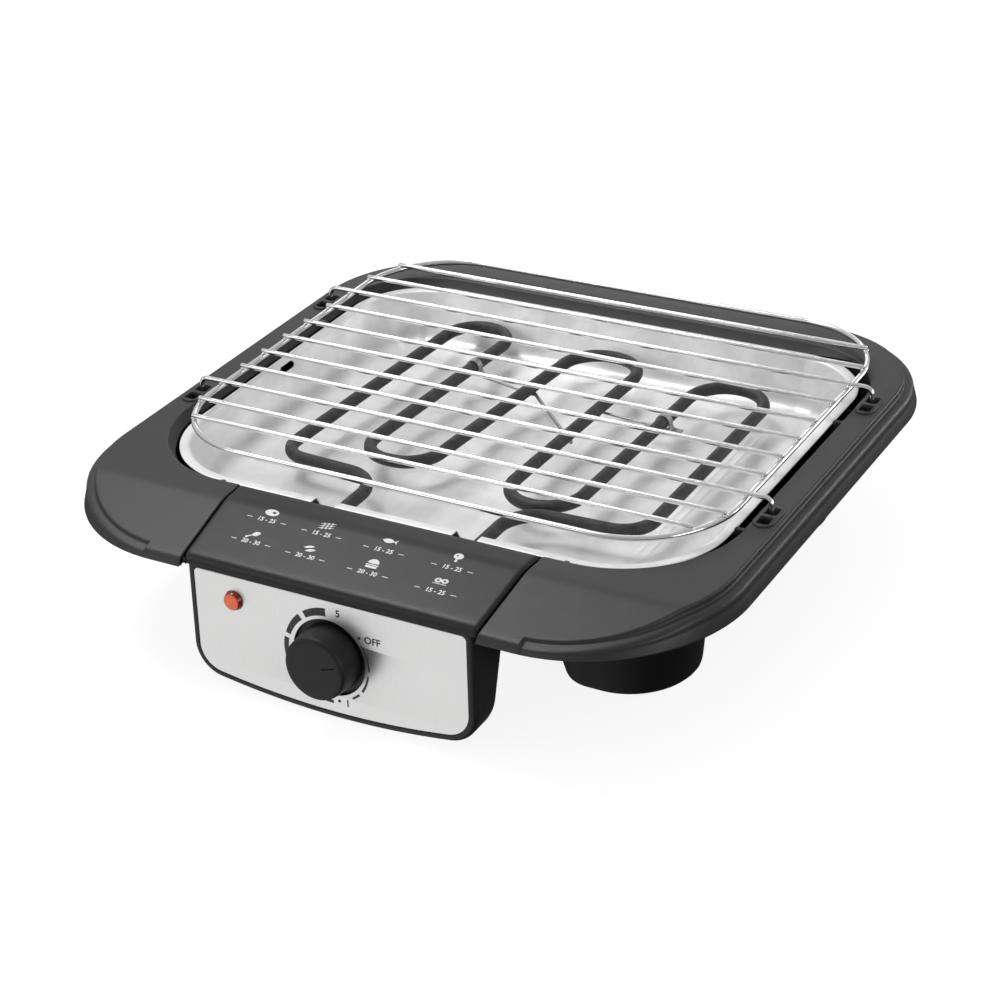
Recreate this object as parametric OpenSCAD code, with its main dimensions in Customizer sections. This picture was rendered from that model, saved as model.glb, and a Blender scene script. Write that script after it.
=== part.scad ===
// Open tabletop electric grill: wire rack, heating tube, drip tray,
// moulded base and a lift-out control unit that hooks over the front rim.
// X runs left to right, Y from front to rear, Z up. The origin is on the
// standing surface, under the centre of the whole object. Millimetres.

/* [Base] */
// Half width of the flat rim
rim_x = 200.5; // [196:0.5:203]
// Height of the flat rim above the standing surface
rim_z = 91; // [88:0.5:92]
// Width of the lower outer ledge around the rim
ledge_w = 6; // [4:0.5:7]
// Drop from the rim to the ledge
ledge_drop = 4.5; // [3:0.5:6]
// Height of the skirt's lower edge
skirt_z = 74; // [72:0.5:76]
// Wall thickness of the moulding
wall = 2.6; // [2.2:0.1:3]
// Height of the underside of the tub's floor
tub_z = 52; // [50:0.5:53]
// Height of the rubber pads under the feet
pad_h = 2; // [1.5:0.5:2]

/* [Drip tray] */
// Half width of the tray over its flange
tray_x = 176; // [174:0.5:177]
// Height of the flange's top face
tray_z = 88; // [87:0.5:88.5]
// Height of the tray's floor, inside
tray_floor = 58; // [57:0.5:60]
// Sheet thickness
sheet = 1; // [0.6:0.1:1.2]

/* [Rack] */
// Half width of the outer loop, on the wire's axis
rack_x = 176; // [174:0.5:177]
// Half depth of the outer loop
rack_y = 147; // [146:0.5:148]
// Corner radius of the outer loop
rack_r = 60; // [56:1:62]
// Height of the cross wires' axis
rack_z = 100; // [99:0.5:101]
// Diameter of the outer loop's wire
loop_d = 3.6; // [3.2:0.1:4]
// Diameter of the cross wires
wire_d = 3; // [2.6:0.1:3.2]

/* [Heating element] */
// Diameter of the sheathed tube
tube_d = 7.8; // [7:0.1:8]
// Height of the tube's axis
tube_z = 74; // [73:0.5:75]
// Half distance between the two leads
lead_x = 46; // [44:0.5:48]

/* [Control unit] */
// Half width of the top cover
cover_x = 97; // [96:0.5:97]
// Height of the flat part of the top cover
cover_z = 92; // [91.5:0.5:92.5]
// Lean of the front face, in degrees
lean = 3.5; // [3:0.5:4]
// Height of the knob's axis at the face plate
knob_z = 39; // [38.5:0.5:40]
// Knob radius at the face plate
knob_r = 20; // [19:0.5:21]
// How far the knob stands out of the face plate
knob_h = 15.4; // [14:0.1:17]

/* [Hidden] */
$fn = 96;
e = 0.01;
// the rack's centre lies 44.5 mm behind the middle of the whole depth
oy = 44.5;

// front slope of the rim: from the crease at y = sl_y0 down to the front edge
sl_y0 = -187;
sl_y1 = -230;
sl_d = 11;
function slope(y) = y > sl_y0 ? 0 : (sl_y0 - y) * sl_d / (sl_y0 - sl_y1);

// plan outlines: half width, front y, rear y, front radius, rear radius
rim_f = -230; rim_b = 156; rim_rf = 85; rim_rb = 73;
open_x = 184; open_f = -169; open_b = 129; open_rf = 69; open_rb = 57;
tray_f = -166; tray_b = 121; tray_rf = 62; tray_rb = 50;
// half width at depth y of the gap that the control unit drops into
function notch_w(y) = 99 - (-168 - y) * 0.06;
module notch_plan(o, yb, yf) polygon([[-notch_w(yb) - o, yb], [notch_w(yb) + o, yb], [notch_w(yf) + o, yf], [-notch_w(yf) - o, yf]]);
ledge_end = 120;     // the front ledge stops this far from the middle
sock_x = 191;        // rack sockets
sock_f = -82.5; sock_b = 64; sock_gap = 11;
pocket = [7.4, 8];

// the cross wires, front to rear; the third and the ninth carry the hooks
wire_y = [-123, -102, -77.5, -54, -31, -7, 17, 43.5, 69, 93, 118.5];
hook_i = [2, 8];

// one outline with two front and two rear corners, symmetric about x = 0
module plan(x, f, b, rf, rb, n = 128) {
  translate([-x, f + rf]) square([2 * x, b - f - rf - rb]);
  translate([-(x - rf), f]) square([2 * (x - rf), rf + 1]);
  translate([-(x - rb), b - rb - 1]) square([2 * (x - rb), rb + 1]);
  for (s = [-1, 1]) {
    translate([s * (x - rf), f + rf]) circle(rf, $fn = n);
    translate([s * (x - rb), b - rb]) circle(rb, $fn = n);
  }
}
module rim_plan(o) plan(rim_x + o, rim_f - o, rim_b + o, rim_rf + o, rim_rb + o);

// everything above the front slope, lowered by d, for |x| < 250
module above_slope(d = 0) {
  translate([-250, 0, 0]) rotate([90, 0, 90]) linear_extrude(500)
    polygon([[sl_y0, rim_z - d], [-300, rim_z - d - slope(-300)], [-300, 140], [sl_y0, 140]]);
}

// ---------------------------------------------------------------- base
module outer_form() {
  difference() {
    union() {
      translate([0, 0, skirt_z]) linear_extrude(rim_z - skirt_z) rim_plan(0);
      // the front lip between the two ends of the ledge
      intersection() {
        translate([0, 0, skirt_z]) linear_extrude(rim_z - skirt_z) rim_plan(ledge_w);
        translate([-ledge_end, -300, 0]) cube([2 * ledge_end, 200, 120]);
      }
    }
    above_slope();
  }
  difference() {
    translate([0, 0, skirt_z]) linear_extrude(rim_z - ledge_drop - skirt_z) rim_plan(ledge_w);
    above_slope(2.4);
    above_slope(ledge_drop);
  }
  translate([0, 0, skirt_z]) linear_extrude(3) rim_plan(ledge_w + 2);
}
module inner_form() {
  difference() {
    translate([0, 0, skirt_z - 1]) linear_extrude(rim_z - wall - skirt_z + 1) rim_plan(-wall);
    above_slope(wall);
  }
}
module stadium(l, w, h) linear_extrude(h) {
  square([w, l - w], center = true);
  for (s = [-1, 1]) translate([0, s * (l - w) / 2]) circle(w / 2, $fn = 48);
}
module at_sockets() for (s = [-1, 1], y = [sock_f, sock_b]) translate([s * sock_x, y, 0]) children();
module rib(x, y, a, gap = 8) // a locating rib on the tub's wall, pointing along a, under and beside the flange
  translate([x, y, 0]) rotate([0, 0, a]) {
    translate([-1, -1.5, tub_z + 2]) cube([gap + 3, 3, tray_z - sheet - tub_z - 2.1]);
    translate([-1, -1.5, tray_z - sheet - 1.1]) cube([gap + 0.3, 3, rim_z - tray_z + 1]);
  }
// one foot: a tapered well with a wide outer corner
module foot_form(t, z0, z1) hull() {
  translate([0, 0, z0]) linear_extrude(e) foot_plan(-t - 4);
  translate([0, 0, z0 + 4]) linear_extrude(e) foot_plan(-t);
  translate([0, 0, z1]) linear_extrude(e) foot_plan(5 - t);
}
module foot_plan(o) {
  // outer corner, inner front corner and the two rear corners
  translate([123, -117]) circle(40 + o, $fn = 64);
  translate([114, -136]) circle(21 + o, $fn = 32);
  translate([109, -114]) circle(14 + o, $fn = 32);
  translate([149, -114]) circle(14 + o, $fn = 32);
}
foot_mid = -25;      // the rear feet mirror the front feet about this line
module at_feet() for (s = [0, 1], r = [0, 1])
  mirror([s, 0, 0]) translate([0, r * 2 * foot_mid, 0]) mirror([0, r, 0]) children();

module base() color([0.13, 0.13, 0.14]) translate([0, oy, 0]) {
  difference() {
    union() {
      difference() {
        outer_form();
        inner_form();
        translate([0, 0, skirt_z - 2]) linear_extrude(40) plan(open_x, open_f, open_b, open_rf, open_rb);
      }
      // tub wall and floor
      difference() {
        translate([0, 0, tub_z]) linear_extrude(rim_z - 1 - tub_z) plan(open_x + wall, open_f - wall, open_b + wall, open_rf + wall, open_rb + wall);
        translate([0, 0, tub_z + wall]) linear_extrude(60) plan(open_x, open_f, open_b, open_rf, open_rb);
      }
      // side walls and shelf of the front notch
      difference() {
        intersection() {
          translate([0, 0, 61]) linear_extrude(rim_z - 62) notch_plan(wall, open_f - 1, -235.5);
          difference() {
            translate([0, 0, 40]) linear_extrude(60) rim_plan(ledge_w - 1);
            above_slope(1.6);
          }
        }
        translate([0, 0, 40]) linear_extrude(60) notch_plan(0, open_f, -240);
        // their lower edge rises towards the front
        translate([-130, 0, 0]) rotate([90, 0, 90]) linear_extrude(260) polygon([[-206, 61], [-240, 77.2], [-240, 40], [-206, 40]]);
      }
      translate([0, 0, 61]) linear_extrude(2.6) notch_plan(wall, open_f - 1, -203.8);
      // rack sockets: raised bosses with two pockets each
      at_sockets() translate([0, 0, rim_z - 14]) stadium(25, 12.4, 15);
      // locating ribs for the tray
      for (y = [-98, 40]) { rib(open_x, y, 180); rib(-open_x, y, 0); }
      for (x = [-90, 90]) rib(x, open_b, -90);
      for (s = [-1, 1]) rib(s * 112, open_f, 90, 3);
      // feet
      difference() {
        at_feet() foot_form(0, pad_h, tub_z + 1);
      }
    }
    // the front notch
    translate([0, 0, 63.6]) linear_extrude(60) notch_plan(0, open_f + 1, -260);
    translate([0, 0, skirt_z - 20]) linear_extrude(60) notch_plan(0, -206, -260);
    // pockets: the rear one is deep, the front one holds the rack higher
    at_sockets() {
      translate([-pocket[0] / 2, sock_gap / 2 - pocket[1] / 2, rim_z - 11]) cube([pocket[0], pocket[1], 20]);
      translate([-pocket[0] / 2, -sock_gap / 2 - pocket[1] / 2, rim_z - 5]) cube([pocket[0], pocket[1], 20]);
    }
    // wells inside the feet
    at_feet() translate([0, 0, pad_h + 3]) linear_extrude(60) foot_well();
  }
}
module foot_well() {
  translate([123, -117]) circle(32, $fn = 64);
  translate([105, -117]) square([45, 12]);
}
module foot_pads() color([0.05, 0.05, 0.05]) translate([0, oy, 0])
  at_feet() translate([127, -126, 0]) difference() {
    cylinder(r = 12, h = pad_h);
    translate([0, 0, -1]) cylinder(r = 3, h = 2);
  }

// ----------------------------------------------------------- drip tray
module slab(z, x, f, b, rf, rb) translate([0, 0, z]) linear_extrude(e) plan(x, f, b, rf, rb, 48);
module drip_tray() color([0.8, 0.8, 0.8]) translate([0, oy, 0]) difference() {
  union() {
    translate([0, 0, tray_z - sheet]) linear_extrude(sheet) plan(tray_x, tray_f, tray_b, tray_rf, tray_rb, 96);
    hull() {
      slab(tray_z - sheet, tray_x - 5, tray_f + 5, tray_b - 5, tray_rf - 5, tray_rb - 5);
      slab(tray_floor + 7 - sheet, tray_x - 17, tray_f + 17, tray_b - 17, tray_rf - 17, tray_rb - 17);
      slab(tray_floor - sheet, tray_x - 27, tray_f + 27, tray_b - 27, tray_rf - 27, tray_rb - 27);
    }
  }
  hull() {
    slab(tray_z + 1, tray_x - 5.5, tray_f + 5.5, tray_b - 5.5, tray_rf - 5.5, tray_rb - 5.5);
    slab(tray_z - sheet - e, tray_x - 6, tray_f + 6, tray_b - 6, tray_rf - 6, tray_rb - 6);
    slab(tray_floor + 7, tray_x - 18, tray_f + 18, tray_b - 18, tray_rf - 18, tray_rb - 18);
    slab(tray_floor, tray_x - 28, tray_f + 28, tray_b - 28, tray_rf - 28, tray_rb - 28);
  }
  // gaps in the front wall for the two leads
  for (s = [-1, 1]) translate([s * lead_x - 8, tray_f - 2, tube_z - 6]) cube([16, 30, 30]);
  // a vent slot in each side wall
  for (s = [-1, 1]) translate([s * (tray_x - 9) - 8, -27, tray_z - 3.8]) cube([16, 15, 2.7]);
}

// ---------------------------------------------------------------- rack
module rod(a, b, d) {
  v = b - a; l = norm(v);
  translate(a) rotate([0, acos(v[2] / l), atan2(v[1], v[0])]) cylinder(d = d, h = l, $fn = 32);
}
// quarter bend in a horizontal plane, round centre c, from angle a over t degrees
module bend(c, r, d, a, t = 90) translate(c) rotate([0, 0, a])
  rotate_extrude(angle = t, $fn = 96) translate([r, 0]) circle(d = d, $fn = 32);
loop_z = rack_z - (loop_d + wire_d) / 2 + 0.1;
module rack_loop() color([0.85, 0.85, 0.86]) translate([0, oy, loop_z]) {
  x = rack_x; y = rack_y; r = rack_r;
  for (s = [-1, 1]) {
    rod([s * x, -(y - r), 0], [s * x, y - r, 0], loop_d);
    rod([-(x - r), s * y, 0], [x - r, s * y, 0], loop_d);
  }
  for (k = [0 : 3]) bend([(k == 0 || k == 3 ? 1 : -1) * (x - r), (k < 2 ? 1 : -1) * (y - r), 0], r, loop_d, 90 * k);
}
// half length of a cross wire: to the loop, which is shorter in the corners
function reach(y) = let (t = abs(y) - (rack_y - rack_r))
  t > 0 ? rack_x - rack_r + sqrt(rack_r * rack_r - t * t) + 1 : rack_x + 1.5;
module rack_cross_wires() color([0.85, 0.85, 0.86]) translate([0, oy, rack_z])
  for (i = [0 : 10]) if (i != hook_i[0] && i != hook_i[1])
    rod([-reach(wire_y[i]), wire_y[i], 0], [reach(wire_y[i]), wire_y[i], 0], wire_d);
hook_r = 5;
hook_tip = rim_z - 10.7;
module rack_hook_wires() color([0.85, 0.85, 0.86]) translate([0, oy, 0])
  for (i = hook_i) {
    rod([-(sock_x - hook_r), wire_y[i], rack_z], [sock_x - hook_r, wire_y[i], rack_z], wire_d);
    for (s = [0, 1]) mirror([s, 0, 0]) {
      translate([sock_x - hook_r, wire_y[i], rack_z - hook_r]) rotate([90, 0, 0])
        rotate_extrude(angle = 90, $fn = 64) translate([hook_r, 0]) circle(d = wire_d, $fn = 32);
      rod([sock_x, wire_y[i], hook_tip], [sock_x, wire_y[i], rack_z - hook_r], wire_d);
    }
  }

// ------------------------------------------------------ heating element
lead_f = -105.5;     // the two cross runs to the leads
lead_end = -190;
// corners of the bent tube in plan, from the left lead to the right one; the
// turns are bent by hand, so the passes aren't quite parallel
route = [[-lead_x, lead_end], [-lead_x, lead_f], [-119.5, -101.5], [-110, 102], [-67.5, 102],
  [-77.5, -83], [-31, -83], [-17.5, 94.5], [32, 94.5], [27, -97], [72.5, -97],
  [75, 84], [122.5, 84], [123, -102.5], [lead_x, lead_f - 0.5], [lead_x, lead_end]];
route_r = [0, 22, 18, 20.5, 20.5, 21.5, 21.5, 24, 24, 22, 22, 23.5, 23.5, 19, 22, 0];
module heating_element() color([0.12, 0.12, 0.12]) translate([0, oy, tube_z]) bent_wire(route, tube_d, route_r, over = 0.5);
// a wire bent in one plane: straight runs joined by round bends of radius r
function way(a, b) = (b - a) / norm(b - a);
function turn(p, k) = let (u = way(p[k - 1], p[k]), v = way(p[k], p[k + 1])) atan2(u[0] * v[1] - u[1] * v[0], u * v);
function at_k(r, k) = is_list(r) ? r[k] : r;
function trim(p, k, r) = k == 0 || k == len(p) - 1 ? 0 : at_k(r, k) * tan(abs(turn(p, k)) / 2);
// over: how far a straight run, 0.1 mm thinner, reaches into its bends
module bent_wire(p, d, r, n = 32, over = 0) {
  for (k = [0 : len(p) - 2]) {
    u = way(p[k], p[k + 1]);
    a = p[k] + u * trim(p, k, r); b = p[k + 1] - u * trim(p, k + 1, r);
    a1 = a - u * (k == 0 ? 0 : over); b1 = b + u * (k == len(p) - 2 ? 0 : over);
    rod([a1[0], a1[1], 0], [b1[0], b1[1], 0], d - (over > 0 ? 0.1 : 0));
  }
  for (k = [1 : 1 : len(p) - 2]) {
    t = turn(p, k); s = sign(t); u = way(p[k - 1], p[k]);
    c = p[k] - u * trim(p, k, r) + s * at_k(r, k) * [-u[1], u[0]];
    translate([c[0], c[1], 0]) rotate([0, 0, atan2(-s * u[0], s * u[1]) + (s < 0 ? t : 0)])
      rotate_extrude(angle = abs(t), $fn = 96) translate([at_k(r, k), 0]) circle(d = d, $fn = n);
  }
}
// three straight wires under the tube tie the second to the fifth pass together:
// each one's two ends and its thickness
tie = [[[-74, 47.5], [-20.5, 35], 1.6], [[-23, 39.4], [31, -11.8], 2.2], [[27, 30.8], [78, 26.4], 1.6]];
module element_tie_rods() color([0.35, 0.34, 0.33]) translate([0, oy, tube_z - tube_d / 2 + 0.1])
  for (t = tie) rod([t[0][0], t[0][1], -t[2] / 2], [t[1][0], t[1][1], -t[2] / 2], t[2]);
// a bent strap over the tube with two small feet
module clip() {
  ri = tube_d / 2 + 0.05; t = 0.8; w = 4.6; r = 2.5; h = 1.9;
  rotate([90, 0, 0]) translate([0, 0, -w / 2]) linear_extrude(w) {
    difference() {
      circle(ri + t, $fn = 48);
      circle(ri, $fn = 48);
      translate([-10, -10]) square([20, 10]);
    }
    for (m = [0, 1]) mirror([m, 0]) {
      translate([ri, -h]) square([t, h + 0.02]);
      translate([ri + t + r, -h]) intersection() {
        difference() {
          circle(r + t, $fn = 48);
          circle(r, $fn = 48);
        }
        translate([-10, -10]) square(10);
      }
      translate([ri + t + r - 0.02, -h - r - t]) square([12 - ri - t - r, t]);
    }
  }
}
module element_clips() color([0.55, 0.55, 0.54]) translate([0, oy, tube_z]) {
  translate([-70.4, 48.4, 0]) rotate([0, 0, -3]) clip();
  translate([74.2, 27.2, 0]) rotate([0, 0, -0.8]) clip();
}
module element_end_seals() color([0.9, 0.88, 0.84]) translate([0, oy, tube_z])
  for (s = [-1, 1]) translate([s * lead_x, lead_end, 0]) rotate([90, 0, 0]) difference() {
    cylinder(d = 9.5, h = 6);
    translate([0, 0, -1]) cylinder(d = 2.4, h = 8, $fn = 32);
  }
module element_terminals() color([0.75, 0.75, 0.75]) translate([0, oy, tube_z])
  for (s = [-1, 1]) translate([s * lead_x, lead_end, 0]) rotate([90, 0, 0]) {
    cylinder(d = 2.4, h = 9, $fn = 32);
    translate([-3.2, -0.4, 8]) cube([6.4, 0.8, 8]);
  }

// --------------------------------------------------------- control unit
tl = tan(lean);
face_top = 78;
face_y0 = -234.2;    // the face at z = face_top
function face_y(z) = face_y0 - (face_top - z) * tl;
box_b = 0.7;         // lowest point of the housing
box_x = 92;          // half width of the housing's front
bow_r = 500;         // the lower edge bows gently
cor_r = 20;          // lower corners
edge_r = 3.8;        // rounded edge round the front
rim_w = edge_r + 0.9;
cor_z = bow_r + box_b - sqrt(pow(bow_r - cor_r, 2) - pow(box_x - cor_r, 2));
// front view of the housing, grown by o; every part of it is convex
module front_view(o, top, n = 96) {
  translate([-box_x - o, cor_z]) square([2 * (box_x + o), top - cor_z]);
  for (s = [-1, 1]) translate([s * (box_x - cor_r), cor_z]) circle(cor_r + o, $fn = n);
  intersection() {
    translate([0, bow_r + box_b]) circle(bow_r + o, $fn = 6 * n);
    translate([-(box_x - cor_r) * 1.03, -5]) square([(box_x - cor_r) * 2.06, cor_z + 6]);
  }
}
// a slice that follows the leaning face, from depth a to depth b behind it
module face_slice(a, b, z0 = -5, z1 = 100) translate([-120, 0, 0]) rotate([90, 0, 90]) linear_extrude(240)
  polygon([[face_y(z0) + a, z0], [face_y(z1) + a, z1], [face_y(z1) + b, z1], [face_y(z0) + b, z0]]);
module front_prism(o, top = 85, n = 96) translate([0, -150, 0]) rotate([90, 0, 0]) linear_extrude(120) front_view(o, top, n);
// the rear wall of the front box leans forward below z = 60
function rear_y(z) = z > 60 ? -204.5 : -204.5 - (60 - z) / 3;
// side view of the front box, drawn in by o at the rear and f behind the face
module side_box(o, f) translate([-120, 0, 0]) rotate([90, 0, 90]) linear_extrude(240)
  polygon([[face_y(84) + f, 84], [rear_y(84) - o, 84], [rear_y(60) - o, 60], [rear_y(-5) - o, -5], [face_y(-5) + f, -5]]);
// slices of the housing's front: depth behind the face, and how far the edge draws in
round_in = [[0, edge_r], [0.35, 2.2], [1, 1.25], [2.2, 0.36], [edge_r, 0], [45, 0]];
// plate outline: the housing's own, drawn in, with small upper corners
plate_t = 73.9;
module plate_view(o) {
  r = 3 + o; w = box_x - rim_w + o;
  intersection() {
    front_view(-rim_w + o, plate_t + o);
    union() {
      translate([-w, -5]) square([2 * w, plate_t + o - r + 5]);
      translate([-w + r, 0]) square([2 * (w - r), plate_t + o]);
      for (s = [-1, 1]) translate([s * (w - r), plate_t + o - r]) circle(r, $fn = 48);
    }
  }
}
module plate_prism(o) translate([0, -150, 0]) rotate([90, 0, 0]) linear_extrude(120) plate_view(o);
neck_x = 93; neck_r = -172; neck_b = 64.2; neck_t = 86.5;
module unit_housing() color([0.09, 0.09, 0.1]) translate([0, oy, 0]) difference() {
  union() {
    // front box
    intersection() {
      hull() for (k = round_in) intersection() {
        front_prism(-k[1], 79.5, 32);
        face_slice(k[0], k[0] + 0.02);
      }
      side_box(0, -1);
    }
    // neck over the base's rim
    difference() {
      translate([-neck_x, -210, neck_b]) cube([2 * neck_x, 210 + neck_r, neck_t - neck_b]);
      translate([-100, -173.7, 84.4]) cube([200, 10, 10]);
    }
    // small fins over the two leads
    for (s = [-1, 1]) translate([s * lead_x - 1, 0, 0]) rotate([90, 0, 90]) linear_extrude(2)
      polygon([[-173, 84], [-169.5, 84], [-169.5, 92.4], [-171.4, 93.6], [-171.4, 84.5], [-173, 84.5]]);
  }
  // inside of the box and the neck
  intersection() { front_prism(-2.4, 90); side_box(2.4, 3.6); }
  // recess for the face plate
  intersection() { plate_prism(0.1); face_slice(-2, 1.2); }
  difference() {
    translate([-neck_x + 2.2, -214, neck_b + 2.2]) cube([2 * neck_x - 4.4, 214 + neck_r - 2.2, 40]);
    // pillars for the cover's screws
    for (s = [-1, 1]) translate([s * 84, -184, 0]) cylinder(r = 4.5, h = 120);
  }
  // the cover sits on the box along the slope
  translate([-130, 0, 0]) rotate([90, 0, 90]) linear_extrude(260)
    polygon([[-190, 84.2], [-229, 75], [-260, 75], [-260, 120], [-190, 120]]);
  // leads
  for (s = [-1, 1]) translate([s * lead_x, -160, tube_z]) rotate([90, 0, 0]) cylinder(d = tube_d + 0.6, h = 20);
  // screw holes from below through the pillars
  for (s = [-1, 1]) translate([s * 84, -184, 60]) { cylinder(r = 1.5, h = 40); translate([0, 0, -1]) cylinder(r = 3.3, h = 8); }
  // knob shaft, the shallow dish round the knob, and the lamp
  at_knob() { translate([0, 0, -8]) cylinder(r = 5.1, h = 20); translate([0, 0, -2.4]) cylinder(r = dish_r, h = 10, $fn = 128); }
  at_lamp() translate([0, 0, -8]) cylinder(r = 4, h = 20);
  // cord bushing hole in the rear wall
  at_gland() translate([0, 0, -8]) cylinder(r = 6, h = 14);
}
// frame of a point on the face plate: +Z leaves the face
module on_face(x, z) translate([x, face_y(z), z]) rotate([90 - lean, 0, 0]) children();
module at_knob() on_face(0, knob_z) children();
module at_lamp() on_face(-61.2, 59.3) children();
dish_r = 23.2;
// the cord's outlet, square to the leaning rear wall
module at_gland() translate([-60, rear_y(36), 36]) rotate([-90 - atan(1 / 3), 0, 0]) children();

// side view of the cover: its outer line, and the hollow underneath
module cover_line(o) polygon([[-171 - o, 84.5], [-171 - o, cover_z - o], [sl_y0, cover_z - o],
  [-230, cover_z - sl_d - o], [-232.6 + o / 2, cover_z - sl_d - 1.5 - o], [-234 + o, cover_z - sl_d - 3.6 - o / 2],
  [-234.4 + o, 75.2], [-225, 75.2]]);
module cover_side(x, o) translate([-x, 0, 0]) rotate([90, 0, 90]) linear_extrude(2 * x) cover_line(o);
module cover_plan(o) translate([0, 0, 60]) linear_extrude(50) notch_plan(-1.2 - o, -170, -236);
module unit_top_cover() color([0.12, 0.12, 0.13]) translate([0, oy, 0]) difference() {
  // bevelled along both sides
  hull() {
    intersection() { cover_side(120, 0); cover_plan(2); }
    intersection() { cover_side(120, 1.8); cover_plan(0); }
  }
  translate([-120, 0, 0]) rotate([90, 0, 90]) linear_extrude(240)
    polygon([[-160, 84.5], [-190, 84.5], [-229, 75.2], [-260, 75.2], [-260, 60], [-160, 60]]);
  intersection() {
    translate([-120, 0, 0]) rotate([90, 0, 90]) linear_extrude(240) polygon([[-173.4, 80], [-173.4, cover_z - 2.3],
      [sl_y0, cover_z - 2.3], [-229, cover_z - sl_d - 2.1], [-232, 77], [-232, 70], [-190, 70]]);
    cover_plan(3.6);
  }
  // the fins of the housing pass behind the rear edge
  for (s = [-1, 1]) translate([s * lead_x - 1.3, -172, 80]) cube([2.6, 3, 20]);
}
module face_plate() color([0.78, 0.78, 0.78]) translate([0, oy, 0]) difference() {
  intersection() {
    plate_prism(0);
    face_slice(0.2, 1.2);
  }
  at_knob() translate([0, 0, -8]) cylinder(r = dish_r, h = 20);
  at_lamp() translate([0, 0, -8]) cylinder(r = 5.9, h = 20);
}
module lamp_lens() color([0.9, 0.35, 0.1]) translate([0, oy, 0]) at_lamp() difference() {
  union() {
    translate([0, 0, -1.2]) cylinder(r = 5.8, h = 1.2);
    cylinder(r1 = 5.8, r2 = 5, h = 2.8);
    translate([0, 0, -9]) cylinder(r = 3.9, h = 8);
  }
  translate([0, 0, -10]) cylinder(r = 3, h = 7.5);
}
module neon_lamp() color([0.95, 0.6, 0.4]) translate([0, oy, 0]) at_lamp() {
  translate([0, 0, -10]) cylinder(r = 2.6, h = 7);
  for (s = [-1, 1]) translate([s * 1.2, 0, -16]) cylinder(r = 0.4, h = 6.5, $fn = 16);
}
module thermostat() color([0.85, 0.82, 0.72]) translate([0, oy, 0]) at_knob() difference() {
  union() {
    translate([-15, -17, -14]) cube([30, 34, 9]);
    translate([-11, -12, -15.5]) cube([22, 24, 2]);
    translate([0, 0, -5.5]) cylinder(r = 4.9, h = 8.2);
  }
  translate([0, 0, -13]) cylinder(r = 3.05, h = 30);
}
module thermostat_bracket() color([0.7, 0.7, 0.7]) translate([0, oy, 0]) at_knob() difference() {
  translate([-24, -11, -4.9]) cube([48, 22, 1]);
  translate([0, 0, -7]) cylinder(r = 4.95, h = 5);
  for (s = [-1, 1]) translate([s * 20, 0, -7]) cylinder(r = 1.6, h = 5);
}
module thermostat_nut() color([0.75, 0.73, 0.68]) translate([0, oy, 0]) at_knob() difference() {
  translate([0, 0, -2.4]) cylinder(r = 7.4, h = 2.2, $fn = 6);
  translate([0, 0, -4]) cylinder(r = 4.9, h = 8);
}
module thermostat_spindle() color([0.7, 0.7, 0.7]) translate([0, oy, 0]) at_knob() difference() {
  translate([0, 0, -12.7]) cylinder(r = 3, h = 12.7 + 11);
  translate([1.6, -4, 4]) cube([4, 8, 10]);
}
module knob() color([0.08, 0.08, 0.08]) translate([0, oy, 0]) at_knob() difference() {
  union() {
    translate([0, 0, -1.4]) cylinder(r1 = knob_r, r2 = knob_r - 1.1, h = knob_h + 0.3);
    translate([0, 0, knob_h - 1.1]) cylinder(r1 = knob_r - 1.1, r2 = knob_r - 2.9, h = 1.1);
  }
  difference() {
    translate([0, 0, -3]) cylinder(r = knob_r - 5, h = knob_h + 0.5);
    translate([0, 0, 4]) cylinder(r = 6, h = 20);
  }
  difference() {
    translate([0, 0, 0]) cylinder(r = 3, h = 11);
    translate([1.6, -4, 4]) cube([4, 8, 10]);
  }
  // pointer groove in the front
  rotate([0, 0, 18]) translate([5.6, -0.5, knob_h - 0.6]) cube([9.1, 1, 2]);
}
module terminal_block() color([0.9, 0.9, 0.88]) translate([34, oy - 230, 46]) difference() {
  cube([34, 12, 14]);
  for (k = [0 : 2]) translate([6 + 11 * k, 6, 4]) cylinder(r = 2, h = 12, $fn = 32);
}
// insulated wires inside the unit, each bent in an upright plane
module in_front_plane(y) translate([0, y, 0]) rotate([90, 0, 0]) children();      // X, Z at depth y
module in_side_plane(x) translate([x, 0, 0]) rotate([90, 0, 90]) children();      // Y, Z at width x
module internal_wires() color([0.7, 0.2, 0.15]) translate([0, oy, 0]) {
  // from the right lead to the terminal block
  in_side_plane(lead_x) bent_wire([[-206.2, tube_z], [-224, tube_z], [-224, 60.2]], 2.4, 6);
  // from the left lead to the thermostat
  in_side_plane(-lead_x) bent_wire([[-206.2, tube_z], [-226, tube_z], [-226, 60]], 2.4, 6);
  in_front_plane(-226) bent_wire([[-lead_x, 60.5], [-lead_x, 41], [-15.2, 41]], 2.4, 6);
  // from the cord's outlet to the terminal block
  in_side_plane(-60) bent_wire([[-215, 37.4], [-226, 37.4], [-226, 31]], 2.4, 4);
  in_front_plane(-226) bent_wire([[-60, 31.5], [-60, 18.5], [44, 18.5], [44, 45.8]], 2.4, 6);
  // from the terminal block's other pole to the thermostat
  in_front_plane(-226) bent_wire([[33.8, 52], [27, 52], [27, 36], [15.2, 36]], 2.4, 3);
}
module heat_shield() color([0.75, 0.75, 0.76]) translate([0, oy, 0]) difference() {
  union() {
    translate([-88, -207.6, 67.2]) cube([176, 30, 0.6]);
    translate([-88, -178.2, 67.2]) cube([176, 0.6, 15]);
  }
  for (s = [-1, 1]) {
    translate([s * lead_x, -170, tube_z]) rotate([90, 0, 0]) cylinder(d = tube_d + 0.1, h = 20);
    translate([s * 84, -184, 60]) cylinder(r = 4.8, h = 40);
  }
}
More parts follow.
